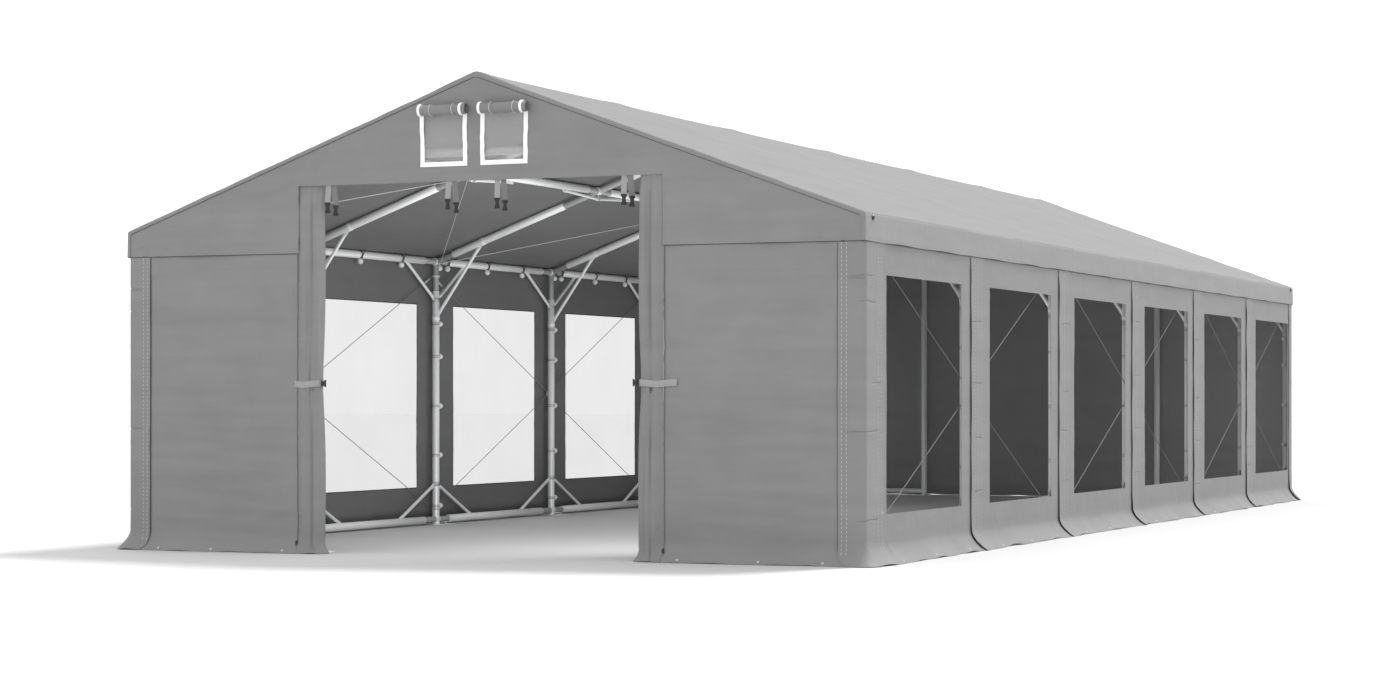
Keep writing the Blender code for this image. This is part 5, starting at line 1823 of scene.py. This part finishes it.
@dataclass
class CurtainStrap:
    """Webbing round a curtain's waist, sewn to the end wall and closed by a buckle at the inner edge."""

    side_name: str
    tent: Tent = TENT
    width: float = 0.040
    thickness: float = 0.0022
    reach: float = 0.090

    def build(self) -> Piece:
        """Strap, buckle and the stitched box at the tail."""
        side = SIDES[self.side_name]
        curtain = Curtain(self.side_name)
        turn = np.linspace(-0.25 * math.pi, -2.1 * math.pi, 60)
        oval = curtain.oval(turn, np.full(turn.shape, curtain.waist), 0.0)
        centre = oval.mean(axis=0)
        loop = centre + (oval - centre) * vec(1.025, 1.045, 1)
        wall_y = -(self.tent.half_length - 2 * self.tent.layer) - 0.0022
        tail_end = vec(side * (self.tent.half_door + self.reach), wall_y, curtain.waist)
        lead = rounded_path([tail_end, tail_end - vec(side * 0.05, 0.001, 0), loop[0]], 0.02)
        path = resampled(np.concatenate([lead[:-1], loop]), 110)
        along = path_length(path)
        path[:, 2] += 0.0012 * np.sin(along * 37) - 0.0070 * bell(along, 0.125, 0.075)
        shape = Shape()
        shape.add(band(path, self.width, self.thickness, Z_AXIS), Look.STRAP)
        inner = side * (np.abs(loop[:, 0]).min() - 0.017)
        middle = vec(inner, loop[:, 1].mean() - 0.030, curtain.waist)
        for part in buckle_parts(middle, -Y_AXIS, vec(-side, 0, 0), long=0.55):
            shape.add(part, Look.BLACK)
        box = [(0.006, -0.014), (0.006, 0.014), (0.034, 0.014), (0.034, -0.014),
               (0.006, -0.014), (0.034, 0.014)]

        def face(a: Array, b: Array) -> Array:
            """Outer face of the tail."""
            return np.stack([tail_end[0] - side * a, wall_y - 0.0011 + 0 * a, curtain.waist + b], axis=-1)

        for start, end in zip(box, box[1:]):
            shape.add(stitch_row(face, start, end, -Y_AXIS, Seam.BOX), Look.THREAD)
        piece = shape.build(f"curtain_strap_{self.side_name}")
        return settle(piece, [f"curtain_tie_{self.side_name}"])


@dataclass
class LintelStraps:
    """Pairs of spare straps that hang behind the lintel, each with a buckle at its foot."""

    tent: Tent = TENT
    inner: float = 0.146
    outer: float = 0.985
    pitch: float = 0.041
    drop: float = 0.185
    width: float = 0.036

    def build(self) -> Piece:
        """All straps, hanging a little askew."""
        tent = self.tent
        rng = np.random.default_rng(91)
        shape = Shape()
        top, tip = tent.lintel + 0.028, tent.lintel - self.drop
        face_y = -(tent.half_length - tent.layer)
        firsts = (-self.outer - self.pitch, -self.inner - self.pitch, self.inner, self.outer)
        starts = [first + k * self.pitch for first in firsts for k in (0, 1)]
        for number, x in enumerate(starts):
            second = number % 2
            lean = rng.uniform(-0.003, 0.003) + (0.009 if second else -0.005)
            foot_z = tip + (0.0 if second else 0.017) + rng.uniform(-0.004, 0.004)
            z = np.linspace(top, foot_z + 0.056, 16)
            hang = ease(top - z, 0.03, 0.16)
            twist = rng.uniform(0.1, 0.3) + 0.5 * second
            y = face_y + 0.0022 + second * 0.0008 + 0.004 * hang * second
            path = np.stack([x + lean * hang, y, z], axis=-1)
            toward = unit(np.stack([np.cos(twist * hang), np.sin(twist * hang), 0 * z], axis=-1))
            shape.add(band(path, self.width, 0.0022, toward), Look.STRAP_DARK if second else Look.STRAP)
            foot = vec(path[-1, 0], path[-1, 1], foot_z + 0.028)
            normal = unit(vec(math.sin(twist), -math.cos(twist), 0))
            for part in buckle_parts(foot, normal, Z_AXIS, self.width * 0.9):
                shape.add(part, Look.BLACK)
        sewn = np.stack([np.linspace(starts[0] - 0.02, starts[-1] + 0.02, 90), np.full(90, face_y + 0.0022),
                         np.full(90, tent.lintel + 0.016)], axis=-1)
        shape.add(band(sewn, 0.026, 0.0018, Z_AXIS), Look.STRAP)
        piece = shape.build("lintel_hanging_straps")
        return settle(piece, ["lintel_straps"])


@dataclass
class Zips:
    """Coil zips: half a zip on each side of the open entrance, and three closed ones at the rear."""

    end_name: str
    tent: Tent = TENT
    tooth_pitch: float = 0.011
    bottom: float = 0.040

    def row(self, shape: Shape, face: Surface, x: float, top: float, both: bool) -> None:
        """One zip: its tape, its teeth and the slider parked at the bottom."""
        out = WALLS[self.end_name].out
        half = 0.010 if both else 0.0055
        a = np.array([x - half, x - half * 0.3, x + half * 0.3, x + half])
        z = ticks([self.bottom, top], 0.03)
        shape.add(sheet_part(face, a, z, out), Look.ZIP)
        places = np.arange(self.bottom + 0.03, top, self.tooth_pitch * (1.4 if both else 1.0))
        points = face(np.full(places.shape, x), places)
        normal = surface_normals(face, np.full(places.shape, x), places, out)
        along = unit(np.cross(Z_AXIS, normal))
        tooth = capsule(0.0060, 0.0046, 0.0034)
        teeth = scattered(tooth, points + normal * 0.0012, along, np.cross(normal, along), normal)
        shape.add(teeth, Look.BLACK)
        foot = face(np.array([x]), np.array([self.bottom + 0.022]))[0] + out * 0.004
        shape.add(plate(foot, rounded_rectangle(0.0070, 0.018, 0.004), out, Z_AXIS, 0.006), Look.BLACK)
        pull = foot + out * 0.004 - Z_AXIS * 0.026
        shape.add(plate(pull, rounded_rectangle(0.007, 0.018, 0.003), out, Z_AXIS, 0.002), Look.STRAP_DARK)

    def build(self) -> Piece:
        """All zips at this end."""
        tent, wall = self.tent, WALLS[self.end_name]
        shape = Shape()
        for side in SIDES.values():
            face = wall.surface(2 * tent.layer - 0.0014)
            if self.end_name == "rear":
                face = wall.surface(tent.layer - 0.0012)
                self.row(shape, face, side * (tent.half_door - 0.004), tent.lintel - 0.002, True)
            else:
                self.row(shape, face, side * (tent.half_door + 0.0105), tent.valance_bottom - 0.002, False)
        if self.end_name == "rear":
            self.row(shape, wall.surface(tent.layer - 0.0014), 0.0, tent.lintel - 0.002, True)
        piece = shape.build(f"{self.end_name}_zips")
        return settle(piece)


# Steel frame

RIVET = ((0, 0.0055), (0.0025, 0.0052), (0.004, 0.0035))


def tube_part(start: Array, end: Array, radius: float, lip: float = 0.0015, sides: int = 20) -> Part:
    """Tube with its end edges eased by a small chamfer."""
    length = float(np.linalg.norm(end - start))
    profile = [(0, radius - lip), (lip, radius), (length - lip, radius), (length, radius - lip)]
    return turned(start, end - start, profile, sides)


def bolt_part(place: Array, axis: Array, size: float = 0.0075) -> Part:
    """Hexagon head on a washer."""
    head = turned(place, axis, [(0.0014, size * 0.9), (0.002, size), (0.006, size), (0.007, size * 0.8)], 6)
    rim = [(0, size * 1.45), (0.0014, size * 1.45), (0.0016, size * 1.2), (0.0062, size * 0.5)]
    washer = turned(place, axis, rim, 9)
    shift = len(head.points)
    faces = list(head.faces)
    faces += [group + shift for group in washer.faces]
    return Part(np.concatenate([head.points, washer.points]), faces)


def collar_part(middle: Array, axis: Array, radius: float, width: float = 0.030) -> Part:
    """Clamp ring round a tube, with eased edges."""
    half = width / 2
    profile = [(-half, radius - 0.001), (-half, radius + 0.0015), (-half + 0.0015, radius + 0.003),
               (half - 0.0015, radius + 0.003), (half, radius + 0.0015), (half, radius - 0.001)]
    return turned(middle, axis, profile, 20)


@dataclass
class SteelFrame:
    """Galvanised tube frame: portal frames, the rails that run through them, braces and feet."""

    tent: Tent = TENT
    brace: float = 0.012
    light_brace: float = 0.010
    sleeve: float = 0.0275
    sleeve_length: float = 0.060
    rail_stub_length: float = 0.190
    rafter_stub: float = 0.160
    mid_stub: tuple[float, float] = (0.279, 0.265)
    ridge_stub: float = 0.150
    post_top: float = 1.787
    knee_height: float = 1.580
    knee_x: float = 2.035
    eave_brace: tuple[float, float] = (1.720, 0.500)
    base_brace: tuple[float, float] = (0.310, 0.600)
    purlin_brace: tuple[float, float] = (0.060, 0.600)
    base_rail: float = 0.040
    gable_post_x: float = 1.190
    collar_radius: float = 0.026
    plate_size: tuple[float, float, float] = (0.140, 0.240, 0.006)
    plate_edge: float = 0.030

    def on_rafter(self, side: int, x: float) -> Array:
        """Point on a rafter's axis."""
        return vec(side * x, 0, float(self.tent.roof_z(x, self.tent.rafter_depth)))

    def slope_out(self, side: int) -> Array:
        """Outward direction of a slope."""
        pitch = self.tent.pitch
        return vec(side * math.sin(pitch), 0, math.cos(pitch))

    def strut(self, shape: Shape, start: Array, end: Array, radius: float, through: Array) -> None:
        """Brace tube pressed flat at both ends, with a bolt through each.

        The section is a circle in the middle and becomes a thin ellipse over the last 70 mm.
        """
        length = float(np.linalg.norm(end - start))
        axis = (end - start) / length
        stops = np.array([0.0, 0.020, 0.036, 0.062, 0.070, length - 0.070, length - 0.062, length - 0.036,
                          length - 0.020, length])
        flat = np.array([1, 1, 0.85, 0.12, 0, 0, 0.12, 0.85, 1, 1.0])[:, None, None]
        thickness = 0.0032
        pressed = circle(12, radius * 1.35, thickness)[None]
        profile = circle(12, radius, radius)[None] * (1 - flat) + pressed * flat
        path = start + axis * stops[:, None]
        shape.add(sweep(path, profile, through), Look.STEEL)
        for place in (start + axis * 0.014, end - axis * 0.014):
            shape.add(bolt_part(place + unit(through) * thickness, unit(through)), Look.BOLT)
            shape.add(bolt_part(place - unit(through) * thickness, -unit(through)), Look.BOLT)

    def rail_joints(self) -> list[Array]:
        """Places where the rails cross a portal frame."""
        tent = self.tent
        joints = [vec(0, 0, tent.ridge_rail_z)]
        for side in SIDES.values():
            for x in (tent.post_x, tent.purlin_x):
                joints.append(vec(side * x, 0, float(tent.roof_z(x, tent.axis_depth))))
            joints.append(vec(side * tent.post_x, 0, self.base_rail))
        return joints

    def rafter(self, shape: Shape, side: int) -> None:
        """Rafter: thin connectors at eave, purlin and ridge, thicker tubes between them."""
        tent = self.tent
        eave, ridge = self.on_rafter(side, tent.post_x), self.on_rafter(side, 0.0)
        shape.add(tube_part(eave, ridge, tent.stub), Look.STUB)
        up = unit(ridge - eave)
        per_x = 1 / math.cos(tent.pitch)
        mid = (tent.post_x - tent.purlin_x) * per_x
        spans = [(self.rafter_stub, mid - self.mid_stub[0] * per_x),
                 (mid + self.mid_stub[1] * per_x, (tent.post_x - self.ridge_stub) * per_x)]
        out = self.slope_out(side)
        for low, high in spans:
            shape.add(tube_part(eave + up * low, eave + up * high, tent.tube), Look.STEEL)
            for place in (low + 0.03, high - 0.03):
                spot = eave + up * place - out * (tent.tube - 0.0005)
                shape.add(turned(spot, -out, RIVET, 10), Look.BOLT)

    def post(self, shape: Shape, side: int) -> None:
        """Side post: weld bead on the foot plate, thick tube and thinner stub up to the eave joint."""
        tent = self.tent
        x = side * tent.post_x
        eave = float(tent.roof_z(tent.post_x, tent.axis_depth))
        shape.add(tube_part(vec(x, 0, self.post_top - 0.03), vec(x, 0, eave), tent.rail_stub), Look.STUB)
        self.standing(shape, x, self.post_top)

    def standing(self, shape: Shape, x: float, top: float) -> None:
        """Upright tube on a weld bead."""
        tube = self.tent.tube
        profile = [(0.006, tube + 0.0055), (0.009, tube + 0.0045), (0.013, tube + 0.001), (0.016, tube),
                   (top - 0.0015, tube), (top, tube - 0.0015)]
        shape.add(turned(vec(x, 0, 0), Z_AXIS, profile, 20), Look.STEEL)

    def foot(self, shape: Shape, x: float, y: float) -> None:
        """Foot plate with rounded corners, two large bolts along it and two small ones across it."""
        width, length, thickness = self.plate_size
        outline = rounded_rectangle(width / 2, length / 2, 0.012)
        shape.add(plate(vec(x, y, thickness / 2), outline, Z_AXIS, Y_AXIS, thickness), Look.STEEL)
        for way in (-1, 1):
            place = vec(x, y + way * (length / 2 - 0.028), thickness)
            shape.add(bolt_part(place, Z_AXIS, 0.010), Look.BOLT)
        for way in (-1, 1):
            place = vec(x + way * (width / 2 - 0.022), y + 0.02, thickness)
            shape.add(bolt_part(place, Z_AXIS, 0.006), Look.BOLT)

    def gable_members(self, shape: Shape, inward: float) -> None:
        """Gable posts with their feet, the collar tie between them and the short base rails."""
        tent = self.tent
        reach = self.gable_post_x
        head = float(tent.roof_z(reach + tent.tube, 0.0075))
        tie = float(tent.roof_z(reach, tent.rafter_depth)) - 0.010
        tie_end = vec(reach - 0.014, 0, 0)
        tie_middle = vec(0, 0, tie)
        shape.add(tube_part(tie_middle - tie_end, tie_middle + tie_end, self.collar_radius), Look.STEEL)
        for side in SIDES.values():
            x = side * reach
            self.standing(shape, x, head)
            shape.add(collar_part(vec(x, 0, tie), Z_AXIS, tent.tube, 0.064), Look.STEEL)
            self.foot(shape, x, inward)
            outer = vec(side * (tent.post_x - tent.rail_stub), 0, self.base_rail)
            shape.add(tube_part(vec(x, 0, self.base_rail), outer, tent.stub), Look.STEEL)

    def portal(self, index: int) -> Piece:
        """One portal frame with its braces along the tent."""
        tent = self.tent
        gable = index in (0, tent.bays)
        ways = [1] if index == 0 else [-1] if gable else [1, -1]
        inward = ways[0] * (self.plate_size[1] / 2 - self.plate_edge) if gable else 0.0
        shape = Shape()
        half = self.sleeve_length / 2
        for middle in self.rail_joints():
            ends = middle - Y_AXIS * half, middle + Y_AXIS * half
            shape.add(tube_part(*ends, self.sleeve + 0.001), Look.STEEL)
        for side in SIDES.values():
            self.rafter(shape, side)
            self.post(shape, side)
            self.foot(shape, side * (tent.post_x + self.plate_edge - self.plate_size[0] / 2), inward)
            knee, head = vec(side * tent.post_x, 0, self.knee_height), self.on_rafter(side, self.knee_x)
            axis = unit(head - knee)
            self.strut(shape, knee + axis * 0.020, head - axis * 0.020, self.brace, Y_AXIS)
            shape.add(collar_part(knee, Z_AXIS, tent.tube), Look.STEEL)
            slope = self.on_rafter(side, 0.0) - self.on_rafter(side, 1.0)
            shape.add(collar_part(head, slope, tent.tube), Look.STEEL)
            mid = self.on_rafter(side, tent.purlin_x)
            lug = mid - Z_AXIS * self.purlin_brace[0]
            shape.add(tube_part(mid, lug - Z_AXIS * 0.012, self.brace, 0.001, 14), Look.STUB)
            for way in ways:
                out = vec(side, 0, 0)
                top_foot = vec(side * tent.post_x, way * 0.018, self.eave_brace[0])
                top_head = self.on_rafter(side, tent.post_x) + Y_AXIS * way * (self.eave_brace[1] - 0.01)
                self.strut(shape, top_foot, top_head, self.brace, out)
                top_collar = vec(side * tent.post_x, 0, self.eave_brace[0])
                shape.add(collar_part(top_collar, Z_AXIS, tent.tube), Look.STEEL)
                base_head = vec(side * tent.post_x, way * 0.018, self.base_brace[0])
                base_foot = vec(side * tent.post_x, way * (self.base_brace[1] - 0.02), self.base_rail + 0.012)
                self.strut(shape, base_head, base_foot, self.brace, out)
                base_collar = vec(side * tent.post_x, 0, self.base_brace[0])
                shape.add(collar_part(base_collar, Z_AXIS, tent.tube), Look.STEEL)
                purlin_end = mid + vec(0, way * self.purlin_brace[1], -tent.tube - 0.004)
                self.strut(shape, lug, purlin_end, self.light_brace, out)
        if gable:
            self.gable_members(shape, inward)
        shape.move(vec(0, tent.frame_y(index), 0))
        piece = shape.build(f"tube_portal_{index + 1}")
        return settle(piece, [f"portal_frame_{index + 1}"])

    def rail(self, name: str, x: float, z: float) -> Piece:
        """Rail along the tent: a thin core through the frames and a thicker tube in each bay."""
        tent = self.tent
        shape = Shape()
        reach = tent.half_length - tent.frame_inset + self.sleeve_length / 2
        shape.add(tube_part(vec(x, -reach, z), vec(x, reach, z), tent.rail_stub), Look.STUB)
        for bay in range(tent.bays):
            low = tent.frame_y(bay) + self.rail_stub_length
            high = tent.frame_y(bay + 1) - self.rail_stub_length
            shape.add(tube_part(vec(x, low, z), vec(x, high, z), tent.tube), Look.STEEL)
            for y in (low + 0.03, high - 0.03):
                spot = vec(x - math.copysign(tent.tube - 0.0005, x), y, z)
                shape.add(turned(spot, vec(-math.copysign(1, x), 0, 0), RIVET, 10), Look.BOLT)
        piece = shape.build(f"{name}_tubes")
        return settle(piece, [name])

    def build(self) -> list[Piece]:
        """Every frame and rail."""
        tent = self.tent
        pieces = [self.portal(index) for index in range(tent.bays + 1)]
        pieces.append(self.rail("ridge_rail", 0.0, tent.ridge_rail_z))
        for name, side in SIDES.items():
            for rail, x in (("eave_rail", tent.post_x), ("mid_purlin", tent.purlin_x)):
                pieces.append(self.rail(f"{rail}_{name}", side * x, float(tent.roof_z(x, tent.axis_depth))))
            pieces.append(self.rail(f"base_rail_{name}", side * tent.post_x, self.base_rail))
        return pieces


@dataclass
class Bracing:
    """Taut steel cables: crossing runs beside the walls and one run under each slope."""

    tent: Tent = TENT
    radius: float = 0.0026
    top_drop: float = 0.125
    middle: float = 1.006
    bottom: float = 0.120
    clamp: float = 0.040
    eave_step: float = 0.040
    mid_step: float = 0.040
    stand_off: float = 0.0033

    def run(self, points: list[Array], toward: Array) -> Part:
        """Cable along straight pulls with short bends."""
        return sweep(rounded_path(points, 0.02, 4), circle(8, self.radius, self.radius), toward)

    def turnbuckle(self, shape: Shape, start: Array, toward: Array) -> None:
        """Turned body with a ball at each end, a little way from an anchor."""
        axis = unit(toward - start)
        place = start + axis * 0.05
        profile = [(0, 0.003), (0.01, 0.0055), (0.018, 0.0085),
                   (0.10, 0.0085), (0.108, 0.0055), (0.118, 0.003)]
        shape.add(turned(place, axis, profile, 10), Look.BOLT)
        for along in (0.0, 0.118):
            shape.add(turned(place + axis * along, axis, ball_profile(0.0065, 6), 10), Look.BOLT)

    def side(self, name: str) -> Piece:
        """Both runs on one side, with a clamp where they meet."""
        tent, side = self.tent, SIDES[name]
        x = side * (tent.post_x + tent.tube + self.stand_off)
        shape = Shape()
        for end_height, way in ((tent.eave - self.top_drop, 1), (self.bottom, -1)):
            middle = self.middle + way * 0.010
            heights = [end_height if index % 2 == 0 else middle for index in range(tent.bays + 1)]
            points = [vec(x, tent.frame_y(index), z) for index, z in enumerate(heights)]
            # Side runs in the darker copy of the cable: painted shade.
            shape.add(self.run(points, X_AXIS), Look.ROPE_PAINTED_DARKER)
            if way == 1:
                for index in range(0, tent.bays + 1, 2):
                    for near in (index - 1, index + 1):
                        if 0 <= near <= tent.bays:
                            self.turnbuckle(shape, points[index], points[near])
        for index in range(1, tent.bays + 1, 2):
            centre = vec(x, tent.frame_y(index), self.middle)
            outline = rounded_rectangle(self.clamp / 2, self.clamp / 2, 0.008)
            shape.add(plate(centre, outline, X_AXIS, Z_AXIS, 0.007), Look.BOLT)
            shape.add(bolt_part(centre + vec(side * 0.0035, 0, 0), vec(side, 0, 0)), Look.BOLT)
        for index in range(0, tent.bays + 1, 2):
            for z in (tent.eave - self.top_drop, self.bottom):
                place = vec(side * tent.post_x, tent.frame_y(index), z)
                shape.add(collar_part(place, Z_AXIS, tent.tube, 0.016), Look.BOLT)
        piece = shape.build(f"side_bracing_{name}")
        return settle(piece, [f"side_cables_{name}"])

    def roof(self, name: str) -> Piece:
        """Run under one slope, with a ring at each joint."""
        tent, side = self.tent, SIDES[name]
        depth = tent.rafter_depth + tent.stub + self.stand_off
        shape, points = Shape(), []
        for index in range(tent.bays + 1):
            x = tent.post_x - self.eave_step if index % 2 == 0 else tent.purlin_x + self.mid_step
            points.append(vec(side * x, tent.frame_y(index), float(tent.roof_z(x, depth))))
        # The run under the roof in the lighter copy of the cable: painted light.
        shape.add(self.run(points, vec(side * math.sin(tent.pitch), 0, math.cos(tent.pitch))), Look.ROPE)
        places = np.array(points) - vec(0, 0, 0.004)
        shape.add(scattered(ring(0.012, 0.0028, 0.0028), places, Y_AXIS, Z_AXIS, X_AXIS), Look.BOLT)
        piece = shape.build(f"roof_bracing_{name}")
        return settle(piece, [f"roof_cable_{name}"])

    def build(self) -> list[Piece]:
        """All four cable pieces."""
        return [make(name) for name in SIDES for make in (self.side, self.roof)]


@dataclass
class BallTies:
    """White balls with black elastic loops that lash the sheets to the rails and posts."""

    side_name: str
    tent: Tent = TENT
    ball: float = 0.0225
    on_rail: tuple[float, ...] = (0.040, 0.165, 0.830, 1.440)
    on_post: tuple[float, ...] = (1.536, 1.286, 0.907, 0.531, 0.143)

    def build(self) -> Piece:
        """Every ball on this side, each with two strands of elastic round its tube."""
        tent, side = self.tent, SIDES[self.side_name]
        rail_z = float(tent.roof_z(tent.post_x, tent.axis_depth))
        x = side * tent.post_x
        spots = []
        for bay in range(tent.bays):
            for offset in self.on_rail:
                y = bay * tent.bay - tent.half_length + offset + (0.06 if bay == 0 and offset < 0.1 else 0.0)
                spots.append((vec(x, y, rail_z), Y_AXIS, unit(vec(-side * 0.25, 0, -1))))
        for index in range(tent.bays + 1):
            way = 1 if index < tent.bays else -1
            for z in self.on_post:
                spots.append((vec(x, tent.frame_y(index), z), Z_AXIS, unit(vec(-side * 0.2, way, 0))))
        centres = np.array([spot[0] for spot in spots])
        along = np.array([spot[1] for spot in spots])
        toward = np.array([spot[2] for spot in spots])
        across = np.cross(along, toward)
        shape = Shape()
        globe = turned(vec(0, 0, 0), X_AXIS, ball_profile(self.ball, 8), 12)
        places = centres + toward * (tent.tube + self.ball - 0.001)
        shape.add(scattered(globe, places, toward, along, across), Look.WHITE)
        loop = ring(tent.tube + 0.0020, 0.0021, 0.0021, 14, 4)
        for shift in (-0.006, 0.006):
            shape.add(scattered(loop, centres + along * shift, toward, across, along), Look.ELASTIC)
        rail = np.abs(along[:, 1]) > 0.5
        lean = unit(vec(0, 0.55, 0.80))
        hook = centres[rail] + vec(-side * (tent.tube + 0.004), 0.012, 0.004)
        profile = [(-0.044, 0.0016), (-0.042, 0.0026), (0.042, 0.0026), (0.044, 0.0016)]
        strand = turned(vec(0, 0, 0), X_AXIS, profile, 8)
        shape.add(scattered(strand, hook, lean, np.cross(X_AXIS, lean), X_AXIS), Look.ELASTIC)
        piece = shape.build(f"ball_ties_{self.side_name}")
        return settle(piece)


# Floor, light and camera

def facing(back: Sequence[float]) -> Euler:
    """Turn of a lamp whose back looks in this direction."""
    return Vector(back).to_track_quat("Z", "Y").to_euler()


@dataclass
class Studio:
    """Pale floor, white surround, a soft sun, flat lamps in and before the tent, and the camera.

    The camera stands level at 0.952 m; its upward shift is what the photograph's framing needs.
    """

    floor_half: float = 150.0
    floor_gap: float = 0.0005
    floor_colour: str = "#c8c8c8"
    surround: float = 1.25
    sun_strength: float = 3.0
    sun_angle_deg: float = 13.0
    sun_from: tuple[float, float, float] = (0.24, 0.54, 1.0)
    inner_size: tuple[float, float] = (2.4, 8.0)
    inner_middle: float = -1.4
    down_power: float = 36.0
    up_power: float = 68.0
    strip_power: float = 48.0
    front_power: float = 13.0
    camera_place: tuple[float, float, float] = (8.027, -21.306, 0.952)
    camera_turn_deg: float = 23.177
    focal_px: float = 2854.5
    image_width_px: float = 1400.0
    horizon_px: float = 400.12
    image_height_px: float = 700.0
    sensor_mm: float = 36.0

    def floor(self) -> None:
        """Large level floor, marked as stage."""
        edge = np.array([-self.floor_half, 0.0, self.floor_half])
        x, y = np.meshgrid(edge, edge)
        mesh = bpy.data.meshes.new("studio_floor")
        points = np.stack([x, y, 0 * x - self.floor_gap], axis=-1).reshape(-1, 3)
        mesh.from_pydata(points.tolist(), [], grid_quads(3, 3).tolist())
        material = bpy.data.materials.new("matt_painted_floor")
        material.use_nodes = True
        tree = material.node_tree
        shader = tree.nodes["Principled BSDF"]
        shader.inputs["Base Color"].default_value = srgb(self.floor_colour)
        shader.inputs["Roughness"].default_value = 0.9
        shader.inputs["Specular IOR Level"].default_value = 0.1
        mesh.materials.append(material)
        linked("studio_floor", mesh)

    def light(self) -> None:
        """White surround, a wide sun from above, right and behind, and four flat lamps."""
        world = bpy.data.worlds.new("white_surround")
        world.use_nodes = True
        background = world.node_tree.nodes["Background"]
        background.inputs["Color"].default_value = (1.0, 1.0, 1.0, 1.0)
        background.inputs["Strength"].default_value = self.surround
        bpy.context.scene.world = world
        lamp = bpy.data.lights.new("soft_sun", "SUN")
        lamp.energy = self.sun_strength
        lamp.angle = math.radians(self.sun_angle_deg)
        linked("soft_sun", lamp).rotation_euler = facing(self.sun_from)
        middle, size = self.inner_middle, self.inner_size
        self.panel("inner_light_down", (0, middle, 1.96), (0, 0, 1), size, self.down_power)
        self.panel("inner_light_up", (0, middle, 0.26), (0, 0, -1), size, self.up_power)
        self.panel("tube_highlight", (1.25, -5.2, 1.60), (0.75, -0.65, 0), (0.90, 1.0), self.strip_power)
        self.panel("front_fill", (0, -9.0, 0.45), (0, -1, -0.05), (5.0, 0.8), self.front_power)

    def panel(self, name: str, place: tuple[float, float, float], back: tuple[float, float, float],
              size: tuple[float, float], power: float) -> None:
        """Flat lamp that the camera doesn't see.

        Args:
            name: Its name.
            place: Its middle.
            back: Direction away from what it lights.
            size: Width and height.
            power: Watts.
        """
        lamp = bpy.data.lights.new(name, "AREA")
        lamp.shape = "RECTANGLE"
        lamp.size, lamp.size_y = size
        lamp.energy = power
        obj = linked(name, lamp)
        obj.location = place
        obj.rotation_euler = facing(back)
        obj.visible_camera = False

    def camera(self) -> None:
        """Level camera with an upward shift that puts the horizon where the photograph has it."""
        data = bpy.data.cameras.new("photo_camera")
        data.sensor_width = self.sensor_mm
        data.lens = self.focal_px / self.image_width_px * self.sensor_mm
        data.shift_y = (self.horizon_px - self.image_height_px / 2) / self.image_width_px
        data.clip_end = 500.0
        camera = linked("photo_camera", data)
        camera.location = self.camera_place
        camera.rotation_euler = (math.pi / 2, 0, math.radians(self.camera_turn_deg))
        bpy.context.scene.camera = camera

    def build(self) -> None:
        """Everything round the object; colours are shown as they are, without a film curve."""
        self.camera()
        self.floor()
        self.light()
        bpy.context.scene.view_settings.view_transform = "Standard"


def main() -> None:
    """Build every piece."""
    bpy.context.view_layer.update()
    Studio().build()
    SteelFrame().build()
    Bracing().build()
    for name in SIDES:
        BallTies(name).build()
        CurtainStrap(name).build()
        Curtain(name).build()
        SideWall(name).build()
        RearDoor(name).build()
    LintelStraps().build()
    for end_name in ENDS:
        Gable(end_name).build()
        Zips(end_name).build()
        for name in SIDES:
            EndWall(end_name, name).build()
            CornerFlap(end_name, name).build()
    Roof().build()
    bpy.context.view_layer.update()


if __name__ == "__main__":
    logging.basicConfig(level=logging.INFO, format="%(message)s")
    main()
